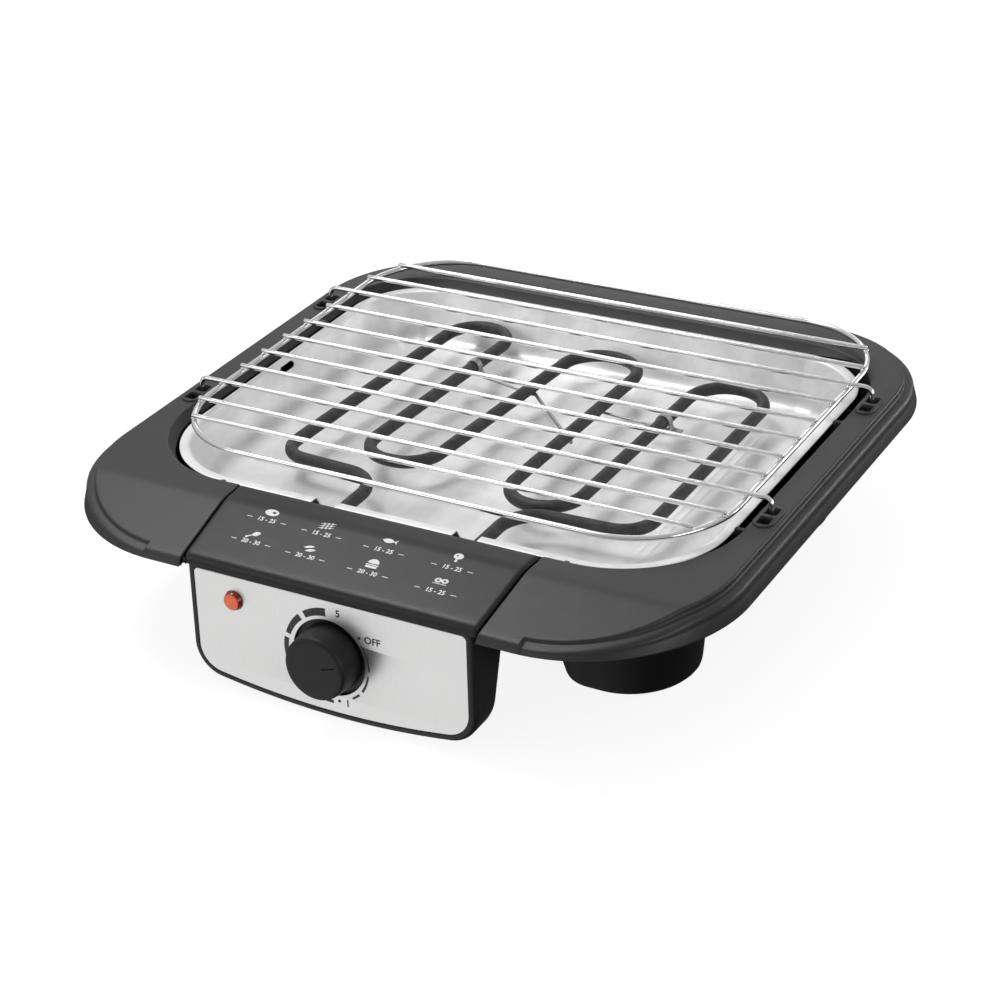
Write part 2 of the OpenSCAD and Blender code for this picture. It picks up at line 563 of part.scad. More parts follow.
module housing_screws() color([0.6, 0.6, 0.6]) translate([0, oy, 0])
  for (s = [-1, 1]) translate([s * 84, -184, 0]) {
    translate([0, 0, 64.4]) cylinder(r = 3, h = 2.4);
    translate([0, 0, 66]) cylinder(r = 1.5, h = 19);
  }
module cord_bushing() color([0.06, 0.06, 0.06]) translate([0, oy, 0])
  at_gland() difference() {
    union() {
      cylinder(r = 8, h = 2);
      translate([0, 0, -4.2]) cylinder(r = 5.95, h = 6.2);
      translate([0, 0, -4.2]) cylinder(r = 7.4, h = 1.8);
    }
    translate([0, 0, -6]) cylinder(r = 3.6, h = 10);
  }

base();
foot_pads();
drip_tray();
rack_loop();
rack_cross_wires();
rack_hook_wires();
heating_element();
element_clips();
element_tie_rods();
element_end_seals();
element_terminals();
unit_housing();
unit_top_cover();
face_plate();
lamp_lens();
neon_lamp();
thermostat();
thermostat_nut();
thermostat_bracket();
thermostat_spindle();
knob();
terminal_block();
internal_wires();
heat_shield();
housing_screws();
cord_bushing();
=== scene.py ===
import math

import bmesh
import bpy
import numpy as np
from mathutils import Matrix, Vector, noise
from mathutils.geometry import tessellate_polygon


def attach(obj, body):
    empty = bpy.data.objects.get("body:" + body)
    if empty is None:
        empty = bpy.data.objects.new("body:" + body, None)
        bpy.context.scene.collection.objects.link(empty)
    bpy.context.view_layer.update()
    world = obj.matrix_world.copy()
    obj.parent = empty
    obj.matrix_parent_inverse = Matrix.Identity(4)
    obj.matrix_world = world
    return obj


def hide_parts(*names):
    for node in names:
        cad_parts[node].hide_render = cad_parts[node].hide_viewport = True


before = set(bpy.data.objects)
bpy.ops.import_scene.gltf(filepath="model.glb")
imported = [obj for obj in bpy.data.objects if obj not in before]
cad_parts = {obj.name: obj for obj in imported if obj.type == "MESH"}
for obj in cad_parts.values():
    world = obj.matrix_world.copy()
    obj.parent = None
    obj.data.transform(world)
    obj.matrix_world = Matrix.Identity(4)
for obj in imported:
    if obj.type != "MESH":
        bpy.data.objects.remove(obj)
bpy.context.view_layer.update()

OY = 44.5          # the rack's centre lies this far behind the middle of the whole depth, mm
rng = np.random.default_rng(7)


# ------------------------------------------------------------------ meshes
def to_m(p):
    return (p[0] / 1000.0, (p[1] + OY) / 1000.0, p[2] / 1000.0)


def make(name, verts, faces, mat, body, slot, replaces=(), angle=32.0, fix=True, smooth=True):
    """A mesh piece from points in millimetres, riding on a body."""
    me = bpy.data.meshes.new(name)
    me.from_pydata([to_m(v) for v in verts], [], [tuple(f) for f in faces])
    me.validate()
    if fix:
        bm = bmesh.new()
        bm.from_mesh(me)
        bmesh.ops.remove_doubles(bm, verts=bm.verts, dist=2e-6)
        bmesh.ops.recalc_face_normals(bm, faces=bm.faces)
        bm.to_mesh(me)
        bm.free()
    ob = bpy.data.objects.new(name, me)
    bpy.context.scene.collection.objects.link(ob)
    if mat is not None:
        me.materials.append(mat)
    if smooth:
        me.shade_smooth()
        me.set_sharp_from_angle(angle=math.radians(angle))
    if body:
        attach(ob, body)
        if replaces:
            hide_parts(*replaces)
    return ob


def loft(rings, closed=True, cap0=False, cap1=False):
    """Faces between rings of equal length."""
    n = len(rings[0])
    verts = [p for r in rings for p in r]
    faces = []
    m = n if closed else n - 1
    for a in range(len(rings) - 1):
        for i in range(m):
            j = (i + 1) % n
            faces.append((a * n + i, a * n + j, (a + 1) * n + j, (a + 1) * n + i))
    if cap0:
        faces.append(tuple(range(n))[::-1])
    if cap1:
        b = (len(rings) - 1) * n
        faces.append(tuple(range(b, b + n)))
    return verts, faces


class Bag:
    """Several closed shapes gathered into one mesh."""

    def __init__(self):
        self.v, self.f = [], []

    def add(self, verts, faces):
        k = len(self.v)
        self.v += [tuple(p) for p in verts]
        self.f += [tuple(i + k for i in f) for f in faces]

    def made(self, name, mat, body, slot, **kw):
        return make(name, self.v, self.f, mat, body, slot, **kw)


def tube(points, radius, sides=24, closed=False, round_end=0.35, flat=1.0):
    """A round wire or tube along points in mm. radius is a number or one per point."""
    P = [Vector(p) for p in points]
    n = len(P)
    R = radius if hasattr(radius, "__len__") else [radius] * n
    T = []
    for i in range(n):
        a = P[(i - 1) % n] if closed or i else P[0]
        b = P[(i + 1) % n] if closed or i < n - 1 else P[-1]
        T.append((b - a).normalized())
    up = Vector((0, 0, 1))
    if abs(T[0].dot(up)) > 0.9:
        up = Vector((0, 1, 0))
    N = [(up - T[0] * up.dot(T[0])).normalized()]
    for i in range(1, n):
        v = N[-1] - T[i] * N[-1].dot(T[i])
        N.append(v.normalized())
    rings = []

    def ring(c, t, nn, r):
        b = t.cross(nn)
        return [tuple(c + (nn * math.cos(2 * math.pi * k / sides) + b * math.sin(2 * math.pi * k / sides)) * r)
                for k in range(sides)]

    if not closed:
        e = R[0] * round_end
        for q in (1.0, 0.75, 0.4):
            rr = R[0] - e + e * math.sqrt(max(0, 1 - q * q))
            rings.append(ring(P[0] + T[0] * e * (1 - q), T[0], N[0], rr))
        rings.append(ring(P[0] + T[0] * e, T[0], N[0], R[0]))
        inner = range(1, n - 1)
    else:
        inner = range(n)
    for i in inner:
        rings.append(ring(P[i], T[i], N[i], R[i]))
    if not closed:
        e = R[-1] * round_end
        rings.append(ring(P[-1] - T[-1] * e, T[-1], N[-1], R[-1]))
        for q in (0.4, 0.75, 1.0):
            rr = R[-1] - e + e * math.sqrt(max(0, 1 - q * q))
            rings.append(ring(P[-1] - T[-1] * e * (1 - q), T[-1], N[-1], rr))
        return loft(rings, True, True, True)
    # close the loop: match the first ring, allowing for the frame's turn
    v, f = loft(rings, True)
    b, m = N[0], N[-1] - T[0] * N[-1].dot(T[0])
    ang = math.atan2(T[0].dot(m.cross(b)), m.dot(b))
    s = round(ang / (2 * math.pi / sides))
    k = (len(rings) - 1) * sides
    for i in range(sides):
        j = (i + 1) % sides
        f.append((k + i, k + j, (j - s) % sides, (i - s) % sides))
    return v, f


def arc(c, r, a0, a1, n, plane="xy", other=0.0):
    out = []
    for i in range(n + 1):
        a = math.radians(a0 + (a1 - a0) * i / n)
        u, w = c[0] + r * math.cos(a), c[1] + r * math.sin(a)
        out.append((u, w, other) if plane == "xy" else (u, other, w))
    return out


def run(a, b, n):
    return [tuple(a[k] + (b[k] - a[k]) * i / n for k in range(3)) for i in range(n + 1)]


def lathe(profile, at, sides=128, cap0=True, cap1=True):
    """profile: (radius, height) pairs; at maps (u, v, w) to mm."""
    rings = [[at(r * math.cos(2 * math.pi * k / sides), r * math.sin(2 * math.pi * k / sides), w)
              for k in range(sides)] for r, w in profile]
    return loft(rings, True, cap0, cap1)


def plate2d(loops, w0, w1, at):
    """A thin slab with holes: the first loop is the outline."""
    flat = [p for lp in loops for p in lp]
    tri = tessellate_polygon([[Vector((p[0], p[1], 0)) for p in lp] for lp in loops])
    n = len(flat)
    verts = [at(p[0], p[1], w1) for p in flat] + [at(p[0], p[1], w0) for p in flat]
    faces = []
    for t in tri:
        a, b, c = (flat[i] for i in t)
        if (b[0] - a[0]) * (c[1] - a[1]) - (b[1] - a[1]) * (c[0] - a[0]) < 0:
            t = t[::-1]
        faces.append(tuple(t))
        faces.append(tuple(i + n for i in t[::-1]))
    k = 0
    for lp in loops:
        m = len(lp)
        for i in range(m):
            j = (i + 1) % m
            faces.append((k + i, k + i + n, k + j + n, k + j))
        k += m
    return verts, faces


def finished(ob):
    """The object's mesh with its modifiers applied."""
    dg = bpy.context.evaluated_depsgraph_get()
    me = bpy.data.meshes.new_from_object(ob.evaluated_get(dg), depsgraph=dg)
    ob.modifiers.clear()
    old = ob.data
    ob.data = me
    bpy.data.meshes.remove(old)
    return ob


def cut(ob, tool, how="DIFFERENCE", keep=False):
    m = ob.modifiers.new("cut", "BOOLEAN")
    m.operation = how
    m.object = tool
    m.solver = "EXACT"
    finished(ob)
    if not keep:
        bpy.data.objects.remove(tool)
    return ob


def shade(ob, angle=32.0):
    ob.data.shade_smooth()
    ob.data.set_sharp_from_angle(angle=math.radians(angle))


def rounded_box(lo, hi, r, at=lambda x, y, z: (x, y, z), seg=4):
    """A box with rounded edges."""
    bm = bmesh.new()
    bmesh.ops.create_cube(bm, size=1.0)
    for v in bm.verts:
        v.co = Vector([lo[k] + (v.co[k] + 0.5) * (hi[k] - lo[k]) for k in range(3)])
    bmesh.ops.bevel(bm, geom=list(bm.edges), offset=r, segments=seg, profile=0.5, affect="EDGES")
    bm.verts.ensure_lookup_table()
    verts = [at(*v.co) for v in bm.verts]
    faces = [tuple(v.index for v in f.verts) for f in bm.faces]
    bm.free()
    return verts, faces


# --------------------------------------------------------------- materials
class Mat:
    """Short node building for one Principled material."""

    def __init__(self, name, color, rough, metal=0.0, spec=0.5, coat=0.0):
        self.m = bpy.data.materials.new(name)
        self.m.use_nodes = True
        self.m.diffuse_color = (*color, 1)
        self.nt = self.m.node_tree
        self.b = self.nt.nodes["Principled BSDF"]
        self.b.inputs["Base Color"].default_value = (*color, 1)
        self.b.inputs["Roughness"].default_value = rough
        self.b.inputs["Metallic"].default_value = metal
        self.b.inputs["Specular IOR Level"].default_value = spec
        self.b.inputs["Coat Weight"].default_value = coat
        self.tc = self.nt.nodes.new("ShaderNodeTexCoord")
        self.last_bump = None

    def coords(self, scale=(1, 1, 1), rot=(0, 0, 0)):
        mp = self.nt.nodes.new("ShaderNodeMapping")
        mp.inputs["Scale"].default_value = scale
        mp.inputs["Rotation"].default_value = rot
        self.nt.links.new(self.tc.outputs["Object"], mp.inputs["Vector"])
        return mp.outputs["Vector"]

    def noise(self, scale, detail=3.0, rough=0.5, stretch=(1, 1, 1), rot=(0, 0, 0), distortion=0.0):
        t = self.nt.nodes.new("ShaderNodeTexNoise")
        t.inputs["Scale"].default_value = scale
        t.inputs["Detail"].default_value = detail
        t.inputs["Roughness"].default_value = rough
        t.inputs["Distortion"].default_value = distortion
        self.nt.links.new(self.coords(stretch, rot), t.inputs["Vector"])
        return t.outputs["Fac"]

    def voronoi(self, scale, stretch=(1, 1, 1), feature="F1"):
        t = self.nt.nodes.new("ShaderNodeTexVoronoi")
        t.feature = feature
        t.inputs["Scale"].default_value = scale
        self.nt.links.new(self.coords(stretch), t.inputs["Vector"])
        return t.outputs["Distance"]

    def ramp(self, fac, stops):
        r = self.nt.nodes.new("ShaderNodeValToRGB")
        el = r.color_ramp.elements
        while len(el) < len(stops):
            el.new(0.5)
        for e, (p, c) in zip(el, stops):
            e.position = p
            e.color = (*c, 1) if len(c) == 3 else c
        self.nt.links.new(fac, r.inputs["Fac"])
        return r.outputs["Color"]

    def remap(self, fac, lo, hi, f0=0.0, f1=1.0):
        r = self.nt.nodes.new("ShaderNodeMapRange")
        r.inputs["From Min"].default_value = f0
        r.inputs["From Max"].default_value = f1
        r.inputs["To Min"].default_value = lo
        r.inputs["To Max"].default_value = hi
        self.nt.links.new(fac, r.inputs["Value"])
        return r.outputs["Result"]

    def math(self, op, a, b):
        r = self.nt.nodes.new("ShaderNodeMath")
        r.operation = op
        for k, v in enumerate((a, b)):
            if isinstance(v, (int, float)):
                r.inputs[k].default_value = v
            else:
                self.nt.links.new(v, r.inputs[k])
        return r.outputs[0]

    def mix(self, fac, a, b, how="MIX"):
        r = self.nt.nodes.new("ShaderNodeMix")
        r.data_type = "RGBA"
        r.blend_type = how
        for sock, v in ((r.inputs["Factor"], fac), (r.inputs[6], a), (r.inputs[7], b)):
            if isinstance(v, (int, float)):
                sock.default_value = v
            elif isinstance(v, tuple):
                sock.default_value = (*v, 1)
            else:
                self.nt.links.new(v, sock)
        return r.outputs[2]

    def bump(self, height, strength, distance):
        n = self.nt.nodes.new("ShaderNodeBump")
        n.inputs["Strength"].default_value = strength
        n.inputs["Distance"].default_value = distance
        self.nt.links.new(height, n.inputs["Height"])
        if self.last_bump is not None:
            self.nt.links.new(self.last_bump, n.inputs["Normal"])
        self.last_bump = n.outputs["Normal"]
        self.nt.links.new(self.last_bump, self.b.inputs["Normal"])
        return self

    def to(self, socket, out):
        self.nt.links.new(out, self.b.inputs[socket])
        return self


def plastic(name, a, b, rough=0.42, grain=1.0, spec=0.5, painted_shade_below=None):
    """Moulded black plastic with a fine satin grain, faint cloudiness and uneven gloss;
    below a given height, painted shade: darker base colour and lower specular towards the underside."""
    m = Mat(name, a, rough, 0.0, spec)
    if painted_shade_below:
        z = m.nt.nodes.new("ShaderNodeSeparateXYZ")
        m.nt.links.new(m.tc.outputs["Object"], z.inputs["Vector"])
        m.to("Specular IOR Level", m.remap(z.outputs["Z"], 0.12, spec, painted_shade_below - 0.008, painted_shade_below + 0.008))
    tone = m.ramp(m.noise(1400, 2, 0.5), [(0.3, a), (0.7, b)])
    # painted shade: the base colour fades to near black below the given height
    if painted_shade_below:
        tone = m.mix(m.remap(z.outputs["Z"], 1.0, 0.0, painted_shade_below - 0.008, painted_shade_below + 0.008), tone, (0.006, 0.006, 0.0062))
    m.to("Base Color", tone)
    m.to("Roughness", m.remap(m.noise(160, 4, 0.6), rough - 0.02, rough + 0.03, 0.3, 0.7))
    m.bump(m.noise(2600, 2, 0.5), 0.16 * grain, 0.00012)
    m.bump(m.noise(700, 3, 0.5), 0.05 * grain, 0.0002)
    return m.m


M = {}
# distance of the lamp's front along the face plate's normal, in metres from the origin
LAMP_W = (0.998135 * (234.2 + (78 - 59.3) * 0.0611626 - 44.5) + 0.061049 * 59.3 + 2.96) / 1000
# painted shade on the base below 62 mm: the feet and the tub's underside are darkened
M["base"] = plastic("base_black", (0.015, 0.015, 0.0155), (0.020, 0.020, 0.0205), 0.45, painted_shade_below=0.062)
M["unit"] = plastic("unit_black", (0.008, 0.008, 0.0083), (0.012, 0.012, 0.0124), 0.40, 1.0, 0.35)
M["knob"] = plastic("knob_black", (0.011, 0.011, 0.0113), (0.015, 0.015, 0.0154), 0.46, 0.7, 0.28)
M["bushing"] = plastic("bushing_black", (0.010, 0.010, 0.010), (0.016, 0.016, 0.016), 0.55, 0.6)


def steel(name, a, b, rough, grain_dir, streak=0.25, clouds=0.05, spec=0.5, fine=900.0):
    """Rolled or brushed bright sheet steel."""
    m = Mat(name, a, rough, 1.0, spec)
    lines = m.noise(fine, 3, 0.6, grain_dir)
    cl = m.noise(14, 4, 0.55, (1, 1, 1), (0, 0, 0), 0.4)
    m.to("Base Color", m.mix(m.remap(cl, 0.0, 1.0, 0.35, 0.65), a, b))
    r = m.math("ADD", m.remap(lines, rough - 0.05, rough + 0.06, 0.3, 0.7), m.remap(cl, -clouds, clouds, 0.3, 0.7))
    m.to("Roughness", r)
    m.bump(lines, streak, 0.00004)
    return m


m = Mat("tray_steel", (0.88, 0.88, 0.88), 0.44, 0.45, 0.5)
soft = m.noise(11, 4, 0.55, (1, 0.8, 1), (0, 0, 0), 0.6)
patchy = m.noise(48, 5, 0.6, (1, 0.45, 1), (0, 0, 0.5), 0.5)
tone = m.ramp(soft, [(0.30, (0.80, 0.80, 0.80)), (0.52, (0.92, 0.92, 0.918)), (0.74, (0.97, 0.97, 0.966))])
m.to("Base Color", m.mix(1.0, tone, m.ramp(patchy, [(0.32, (0.86, 0.86, 0.86)), (0.62, (1.0, 1.0, 1.0))]), "MULTIPLY"))
fine = m.noise(700, 3, 0.6, (1, 0.18, 0.5))
m.to("Roughness", m.math("ADD", m.remap(patchy, 0.54, 0.38, 0.3, 0.7), m.remap(fine, -0.03, 0.03, 0.3, 0.7)))
m.bump(fine, 0.05, 0.00004)
m.bump(m.noise(26, 3, 0.5, (1, 1, 1), (0, 0, 0), 0.4), 0.35, 0.0008)
M["tray"] = m.m

m = Mat("rack_chrome", (0.76, 0.76, 0.76), 0.14, 1.0)
m.to("Base Color", m.ramp(m.noise(60, 3), [(0.3, (0.72, 0.72, 0.72)), (0.7, (0.82, 0.82, 0.82))]))
m.to("Roughness", m.remap(m.noise(240, 4), 0.12, 0.18, 0.3, 0.7))
M["chrome"] = m.m

m = Mat("element_sheath", (0.045, 0.044, 0.043), 0.52, 0.25)
m.to("Base Color", m.ramp(m.noise(130, 6, 0.62), [(0.28, (0.026, 0.0255, 0.025)), (0.55, (0.048, 0.047, 0.046)), (0.8, (0.075, 0.073, 0.070))]))
m.to("Roughness", m.remap(m.noise(420, 4), 0.44, 0.64, 0.3, 0.7))
m.bump(m.noise(2400, 3, 0.6), 0.20, 0.00008)
M["sheath"] = m.m

m = Mat("clip_steel", (0.42, 0.41, 0.40), 0.36, 0.9)
m.to("Base Color", m.ramp(m.noise(300, 5, 0.6), [(0.3, (0.26, 0.255, 0.25)), (0.7, (0.50, 0.49, 0.48))]))
m.to("Roughness", m.remap(m.noise(500, 4), 0.34, 0.56, 0.3, 0.7))
m.bump(m.noise(1600, 3), 0.15, 0.00006)
M["clip"] = m.m

m = Mat("face_steel", (0.78, 0.775, 0.77), 0.36, 1.0, 0.5)
streaks = m.noise(2000, 3, 0.6, (1, 1, 0.010))
m.to("Base Color", m.mix(m.remap(streaks, 0.0, 1.0, 0.3, 0.7), (0.755, 0.753, 0.75), (0.80, 0.798, 0.795)))
m.to("Roughness", m.remap(streaks, 0.34, 0.40, 0.3, 0.7))
m.bump(streaks, 0.07, 0.00004)
M["face"] = m.m

m = Mat("zinc_steel", (0.62, 0.61, 0.58), 0.32, 1.0)
m.to("Base Color", m.ramp(m.noise(160, 5), [(0.3, (0.50, 0.49, 0.46)), (0.7, (0.70, 0.69, 0.66))]))
m.to("Roughness", m.remap(m.voronoi(700), 0.24, 0.44, 0.0, 0.8))
m.bump(m.noise(900, 4), 0.12, 0.00006)
M["zinc"] = m.m

m = Mat("lamp_orange", (0.72, 0.065, 0.012), 0.20, 0.0, 0.5, 0.5)
d = m.nt.nodes.new("ShaderNodeVectorMath")
d.operation = "DOT_PRODUCT"
d.inputs[1].default_value = (0.0, -0.998135, 0.061049)
m.nt.links.new(m.tc.outputs["Object"], d.inputs[0])
# painted shade: the lens's sides and back, deeper than its front, get a dark red base colour and almost no glow, as if
# shaded in its hole
front = m.remap(d.outputs["Value"], 0.0, 1.0, LAMP_W - 0.0006, LAMP_W - 0.00005)
lit = m.ramp(m.noise(700, 2, 0.5), [(0.3, (0.78, 0.075, 0.014)), (0.7, (0.95, 0.19, 0.035))])
m.to("Base Color", m.mix(front, (0.16, 0.006, 0.003), lit))
m.to("Roughness", m.remap(m.noise(900, 3), 0.16, 0.30, 0.3, 0.7))
m.to("Emission Color", m.mix(front, (0.02, 0.0, 0.0), (0.30, 0.035, 0.006)))
m.b.inputs["Emission Strength"].default_value = 0.5
m.bump(m.noise(1200, 3), 0.10, 0.00008)
M["lamp"] = m.m

m = Mat("neon_glass", (0.9, 0.55, 0.35), 0.10, 0.0, 0.5)
m.to("Base Color", m.ramp(m.noise(500, 3), [(0.3, (0.85, 0.45, 0.25)), (0.7, (0.98, 0.68, 0.45))]))
m.to("Roughness", m.remap(m.noise(800, 3), 0.06, 0.18, 0.3, 0.7))
M["neon"] = m.m

m = Mat("print_white", (0.82, 0.82, 0.80), 0.55)
m.to("Base Color", m.ramp(m.noise(900, 3), [(0.25, (0.74, 0.74, 0.73)), (0.6, (0.86, 0.86, 0.85))]))
m.to("Roughness", m.remap(m.noise(1500, 3), 0.45, 0.65, 0.3, 0.7))
M["white"] = m.m

m = Mat("print_black", (0.020, 0.020, 0.021), 0.5)
m.to("Base Color", m.ramp(m.noise(900, 3), [(0.25, (0.014, 0.014, 0.015)), (0.6, (0.030, 0.030, 0.031))]))
m.to("Roughness", m.remap(m.noise(1500, 3), 0.40, 0.60, 0.3, 0.7))
M["ink"] = m.m

m = Mat("pad_rubber", (0.016, 0.016, 0.016), 0.78)
m.to("Base Color", m.ramp(m.noise(500, 4), [(0.3, (0.011, 0.011, 0.011)), (0.7, (0.024, 0.024, 0.023))]))
m.to("Roughness", m.remap(m.noise(900, 4), 0.68, 0.88, 0.3, 0.7))
m.bump(m.noise(1800, 3), 0.3, 0.0001)
M["rubber"] = m.m

m = Mat("ceramic", (0.80, 0.77, 0.70), 0.5)
m.to("Base Color", m.ramp(m.noise(400, 4), [(0.3, (0.72, 0.69, 0.62)), (0.7, (0.86, 0.83, 0.77))]))
m.to("Roughness", m.remap(m.noise(900, 3), 0.40, 0.62, 0.3, 0.7))
m.bump(m.noise(1500, 3), 0.2, 0.00008)
M["ceramic"] = m.m

m = Mat("thermostat_body", (0.74, 0.70, 0.58), 0.45)
m.to("Base Color", m.ramp(m.noise(300, 4), [(0.3, (0.66, 0.62, 0.50)), (0.7, (0.80, 0.77, 0.66))]))
m.to("Roughness", m.remap(m.noise(900, 3), 0.36, 0.58, 0.3, 0.7))
m.bump(m.noise(1500, 3), 0.15, 0.00006)
M["thermo"] = m.m

m = Mat("block_plastic", (0.82, 0.81, 0.78), 0.4)
m.to("Base Color", m.ramp(m.noise(250, 4), [(0.3, (0.76, 0.75, 0.72)), (0.7, (0.86, 0.85, 0.82))]))
m.to("Roughness", m.remap(m.noise(900, 3), 0.32, 0.52, 0.3, 0.7))
m.bump(m.noise(1500, 3), 0.12, 0.00006)
M["block"] = m.m

m = Mat("wire_silicone", (0.55, 0.06, 0.04), 0.5)
m.to("Base Color", m.ramp(m.noise(300, 4), [(0.3, (0.46, 0.045, 0.03)), (0.7, (0.62, 0.08, 0.05))]))
m.to("Roughness", m.remap(m.noise(900, 3), 0.42, 0.62, 0.3, 0.7))
m.bump(m.noise(1500, 3), 0.12, 0.00006)
M["wire"] = m.m

for node, key in {
    "foot_pads": "rubber", "element_clips": "clip", "element_tie_rods": "clip", "element_end_seals": "ceramic",
    "element_terminals": "zinc", "neon_lamp": "neon", "thermostat": "thermo", "thermostat_nut": "zinc",
    "thermostat_bracket": "zinc", "thermostat_spindle": "zinc", "terminal_block": "block",
    "internal_wires": "wire", "heat_shield": "tray", "housing_screws": "zinc", "cord_bushing": "bushing",
}.items():
    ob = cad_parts[node]
    ob.data.materials.clear()
    ob.data.materials.append(M[key])


# -------------------------------------------------------------------- base
RIM_Z, SKIRT_Z, WALL, TUB_Z = 91.0, 74.0, 2.6, 52.0
Y_CREASE, K_SLOPE = -187.0, 11.0 / 43.0


def ztop(y, top=RIM_Z, soft=4.0):
    d = Y_CREASE - y
    if d <= -soft:
        return top
    if d >= soft:
        return top - K_SLOPE * d
    return top - K_SLOPE * (d + soft) ** 2 / (4 * soft)


def notch_w(y):
    return 99 - (-168 - y) * 0.06


def half_curve(x, f, b, rf, rb, x0):
    """Right half of an outline, from its front straight at x0 to the rear middle: (point, normal) pairs."""
    extra = [2.2, 2.5, 2.8, 3.1, 3.4, 3.7, 4.0, 4.4]
    out = []
    for u in np.linspace(0, 1, 15)[:-1]:
        out.append(((x0 + (x - rf - x0) * u, f), (0.0, -1.0)))
    fa = sorted(set(list(np.linspace(0, 90, 65)) + extra))
    for a in fa:
        t = math.radians(a - 90)
        out.append(((x - rf + rf * math.cos(t), f + rf + rf * math.sin(t)), (math.cos(t), math.sin(t))))
    for u in np.linspace(0, 1, 57)[1:-1]:
        out.append(((x, f + rf + (b - rb - f - rf) * u), (1.0, 0.0)))
    for a in np.linspace(0, 90, 57):
        t = math.radians(a)
        out.append(((x - rb + rb * math.cos(t), b - rb + rb * math.sin(t)), (math.cos(t), math.sin(t))))
    for u in np.linspace(0, 1, 33)[1:]:
        out.append((((x - rb) * (1 - u), b), (0.0, 1.0)))
    return out


def both_halves(c):
    left = [((-p[0], p[1]), (-n[0], n[1])) for p, n in c[:-1]][::-1]
    return c + left


outer = both_halves(half_curve(200.5, -230, 156, 85, 73, notch_w(-230)))
inner = both_halves(half_curve(184, -169, 129, 69, 57, notch_w(-169)))

# outward from the rim's edge: groove points fall by a share of the groove's depth,
# skirt points go down a share of the way from the ledge to the lower edge
GROOVE = [(-1.3, 0.0), (-0.8, 0.02), (-0.4, 0.08), (-0.12, 0.18), (0.0, 0.32), (0.12, 0.78), (0.35, 0.93), (0.8, 1.0), (1.8, 1.0)]
SKIRT = [(3.0, 0.01), (4.0, 0.03), (4.8, 0.075), (5.35, 0.13), (5.75, 0.21), (5.95, 0.30), (6.0, 0.38), (6.12, 0.43),
         (6.45, 0.50), (6.9, 0.62), (7.35, 0.76), (7.75, 0.90), (7.95, 0.965), (7.9, 1.0)]
ACROSS = 44


def groove_depth(p):
    if p[1] < -150 and abs(p[0]) < 123:
        u = min(1.0, max(0.0, (abs(p[0]) - 119.2) / 1.5))
        side = u * u * (3 - 2 * u)
    else:
        side = 1.0
    w = min(1.0, max(0.0, (p[1] + 226) / 44.0))
    w = w * w * (3 - 2 * w)
    return side * (1.9 + 2.2 * w)


def section(k, dx=0.0, drop=0.0):
    (po, no), (pi, ni) = outer[k], inner[k]
    sx = 1 if po[0] >= 0 else -1
    g = groove_depth(po)
    # the sloped lip of the opening, at the left and the rear
    lip = min(1.0, max(0.0, ni[1] - ni[0] + (0.6 if ni[0] < 0 else 0.0)))
    lip = 4.4 * lip * lip * (3 - 2 * lip)
    pts = []

    def out(o, z):
        x, y = po[0] + no[0] * o, po[1] + no[1] * o
        pts.append((x, y, z(y)))

    def inn(o, z):
        x, y = pi[0] + ni[0] * o, pi[1] + ni[1] * o
        pts.append((x, y, z(y)))

    inn(WALL, lambda y: 63.4)
    inn(0.0, lambda y: 63.4)
    inn(-lip, lambda y: 76.0)
    inn(-lip, lambda y: ztop(y) - 1.4 - 0.8 * lip - drop)
    inn(0.12, lambda y: ztop(y) - 0.8 - drop)
    inn(0.45, lambda y: ztop(y) - 0.35 - drop)
    inn(0.9, lambda y: ztop(y) - 0.08 - drop)
    a = (pi[0] + ni[0] * 1.5, pi[1] + ni[1] * 1.5)
    b = (po[0] - no[0] * 1.3, po[1] - no[1] * 1.3)
    for i in range(ACROSS):
        u = i / ACROSS
        x, y = a[0] + (b[0] - a[0]) * u, a[1] + (b[1] - a[1]) * u
        pts.append((x, y, ztop(y) - drop))
    for o, s in GROOVE:
        out(o, lambda y: ztop(y) - g * s - drop)
    for o, s in SKIRT:
        out(o, lambda y: (ztop(y) - g - drop) * (1 - s) + SKIRT_Z * s)
    out(5.9, lambda y: SKIRT_Z)
    out(5.3, lambda y: SKIRT_Z + 2.0)
    out(3.6, lambda y: max(SKIRT_Z + 2.2, ztop(y) - g - 2.8))
    out(-2.6, lambda y: ztop(y) - 2.9)
    inn(WALL, lambda y: ztop(y) - 2.9)
    if dx or k in (0, len(outer) - 1):
        w = [(sx * (notch_w(y) + dx), y, z) for x, y, z in pts]
        pts = w
    return pts


rings = []
last = len(outer) - 1
for dx, drop in ((0.0, 1.0), (0.1, 0.5), (0.35, 0.18), (0.8, 0.03), (1.3, 0.0)):
    rings.append(section(0, dx, drop) if dx else section(0, 0.0, drop))
for k in range(1, last):
    rings.append(section(k))
for dx, drop in ((1.3, 0.0), (0.8, 0.03), (0.35, 0.18), (0.1, 0.5), (0.0, 1.0)):
    rings.append(section(last, dx, drop) if dx else section(last, 0.0, drop))
verts, faces = loft(rings, True)
n = len(rings[0])
for base_i, flip in ((0, False), ((len(rings) - 1) * n, True)):
    poly = [Vector((p[1], p[2], 0)) for p in rings[0 if base_i == 0 else -1]]
    for t in tessellate_polygon([poly]):
        t = tuple(base_i + i for i in t)
        faces.append(t[::-1] if flip else t)
rim = make("base_rim", verts, faces, M["base"], "base", "base_plastic", replaces=("base",), angle=40)


def stadium(l, w, n=20):
    h = (l - w) / 2
    up = [(w / 2 * math.cos(math.radians(a)), h + w / 2 * math.sin(math.radians(a))) for a in np.linspace(0, 180, n + 1)]
    dn = [(w / 2 * math.cos(math.radians(a)), -h + w / 2 * math.sin(math.radians(a))) for a in np.linspace(180, 360, n + 1)]
    return up + dn


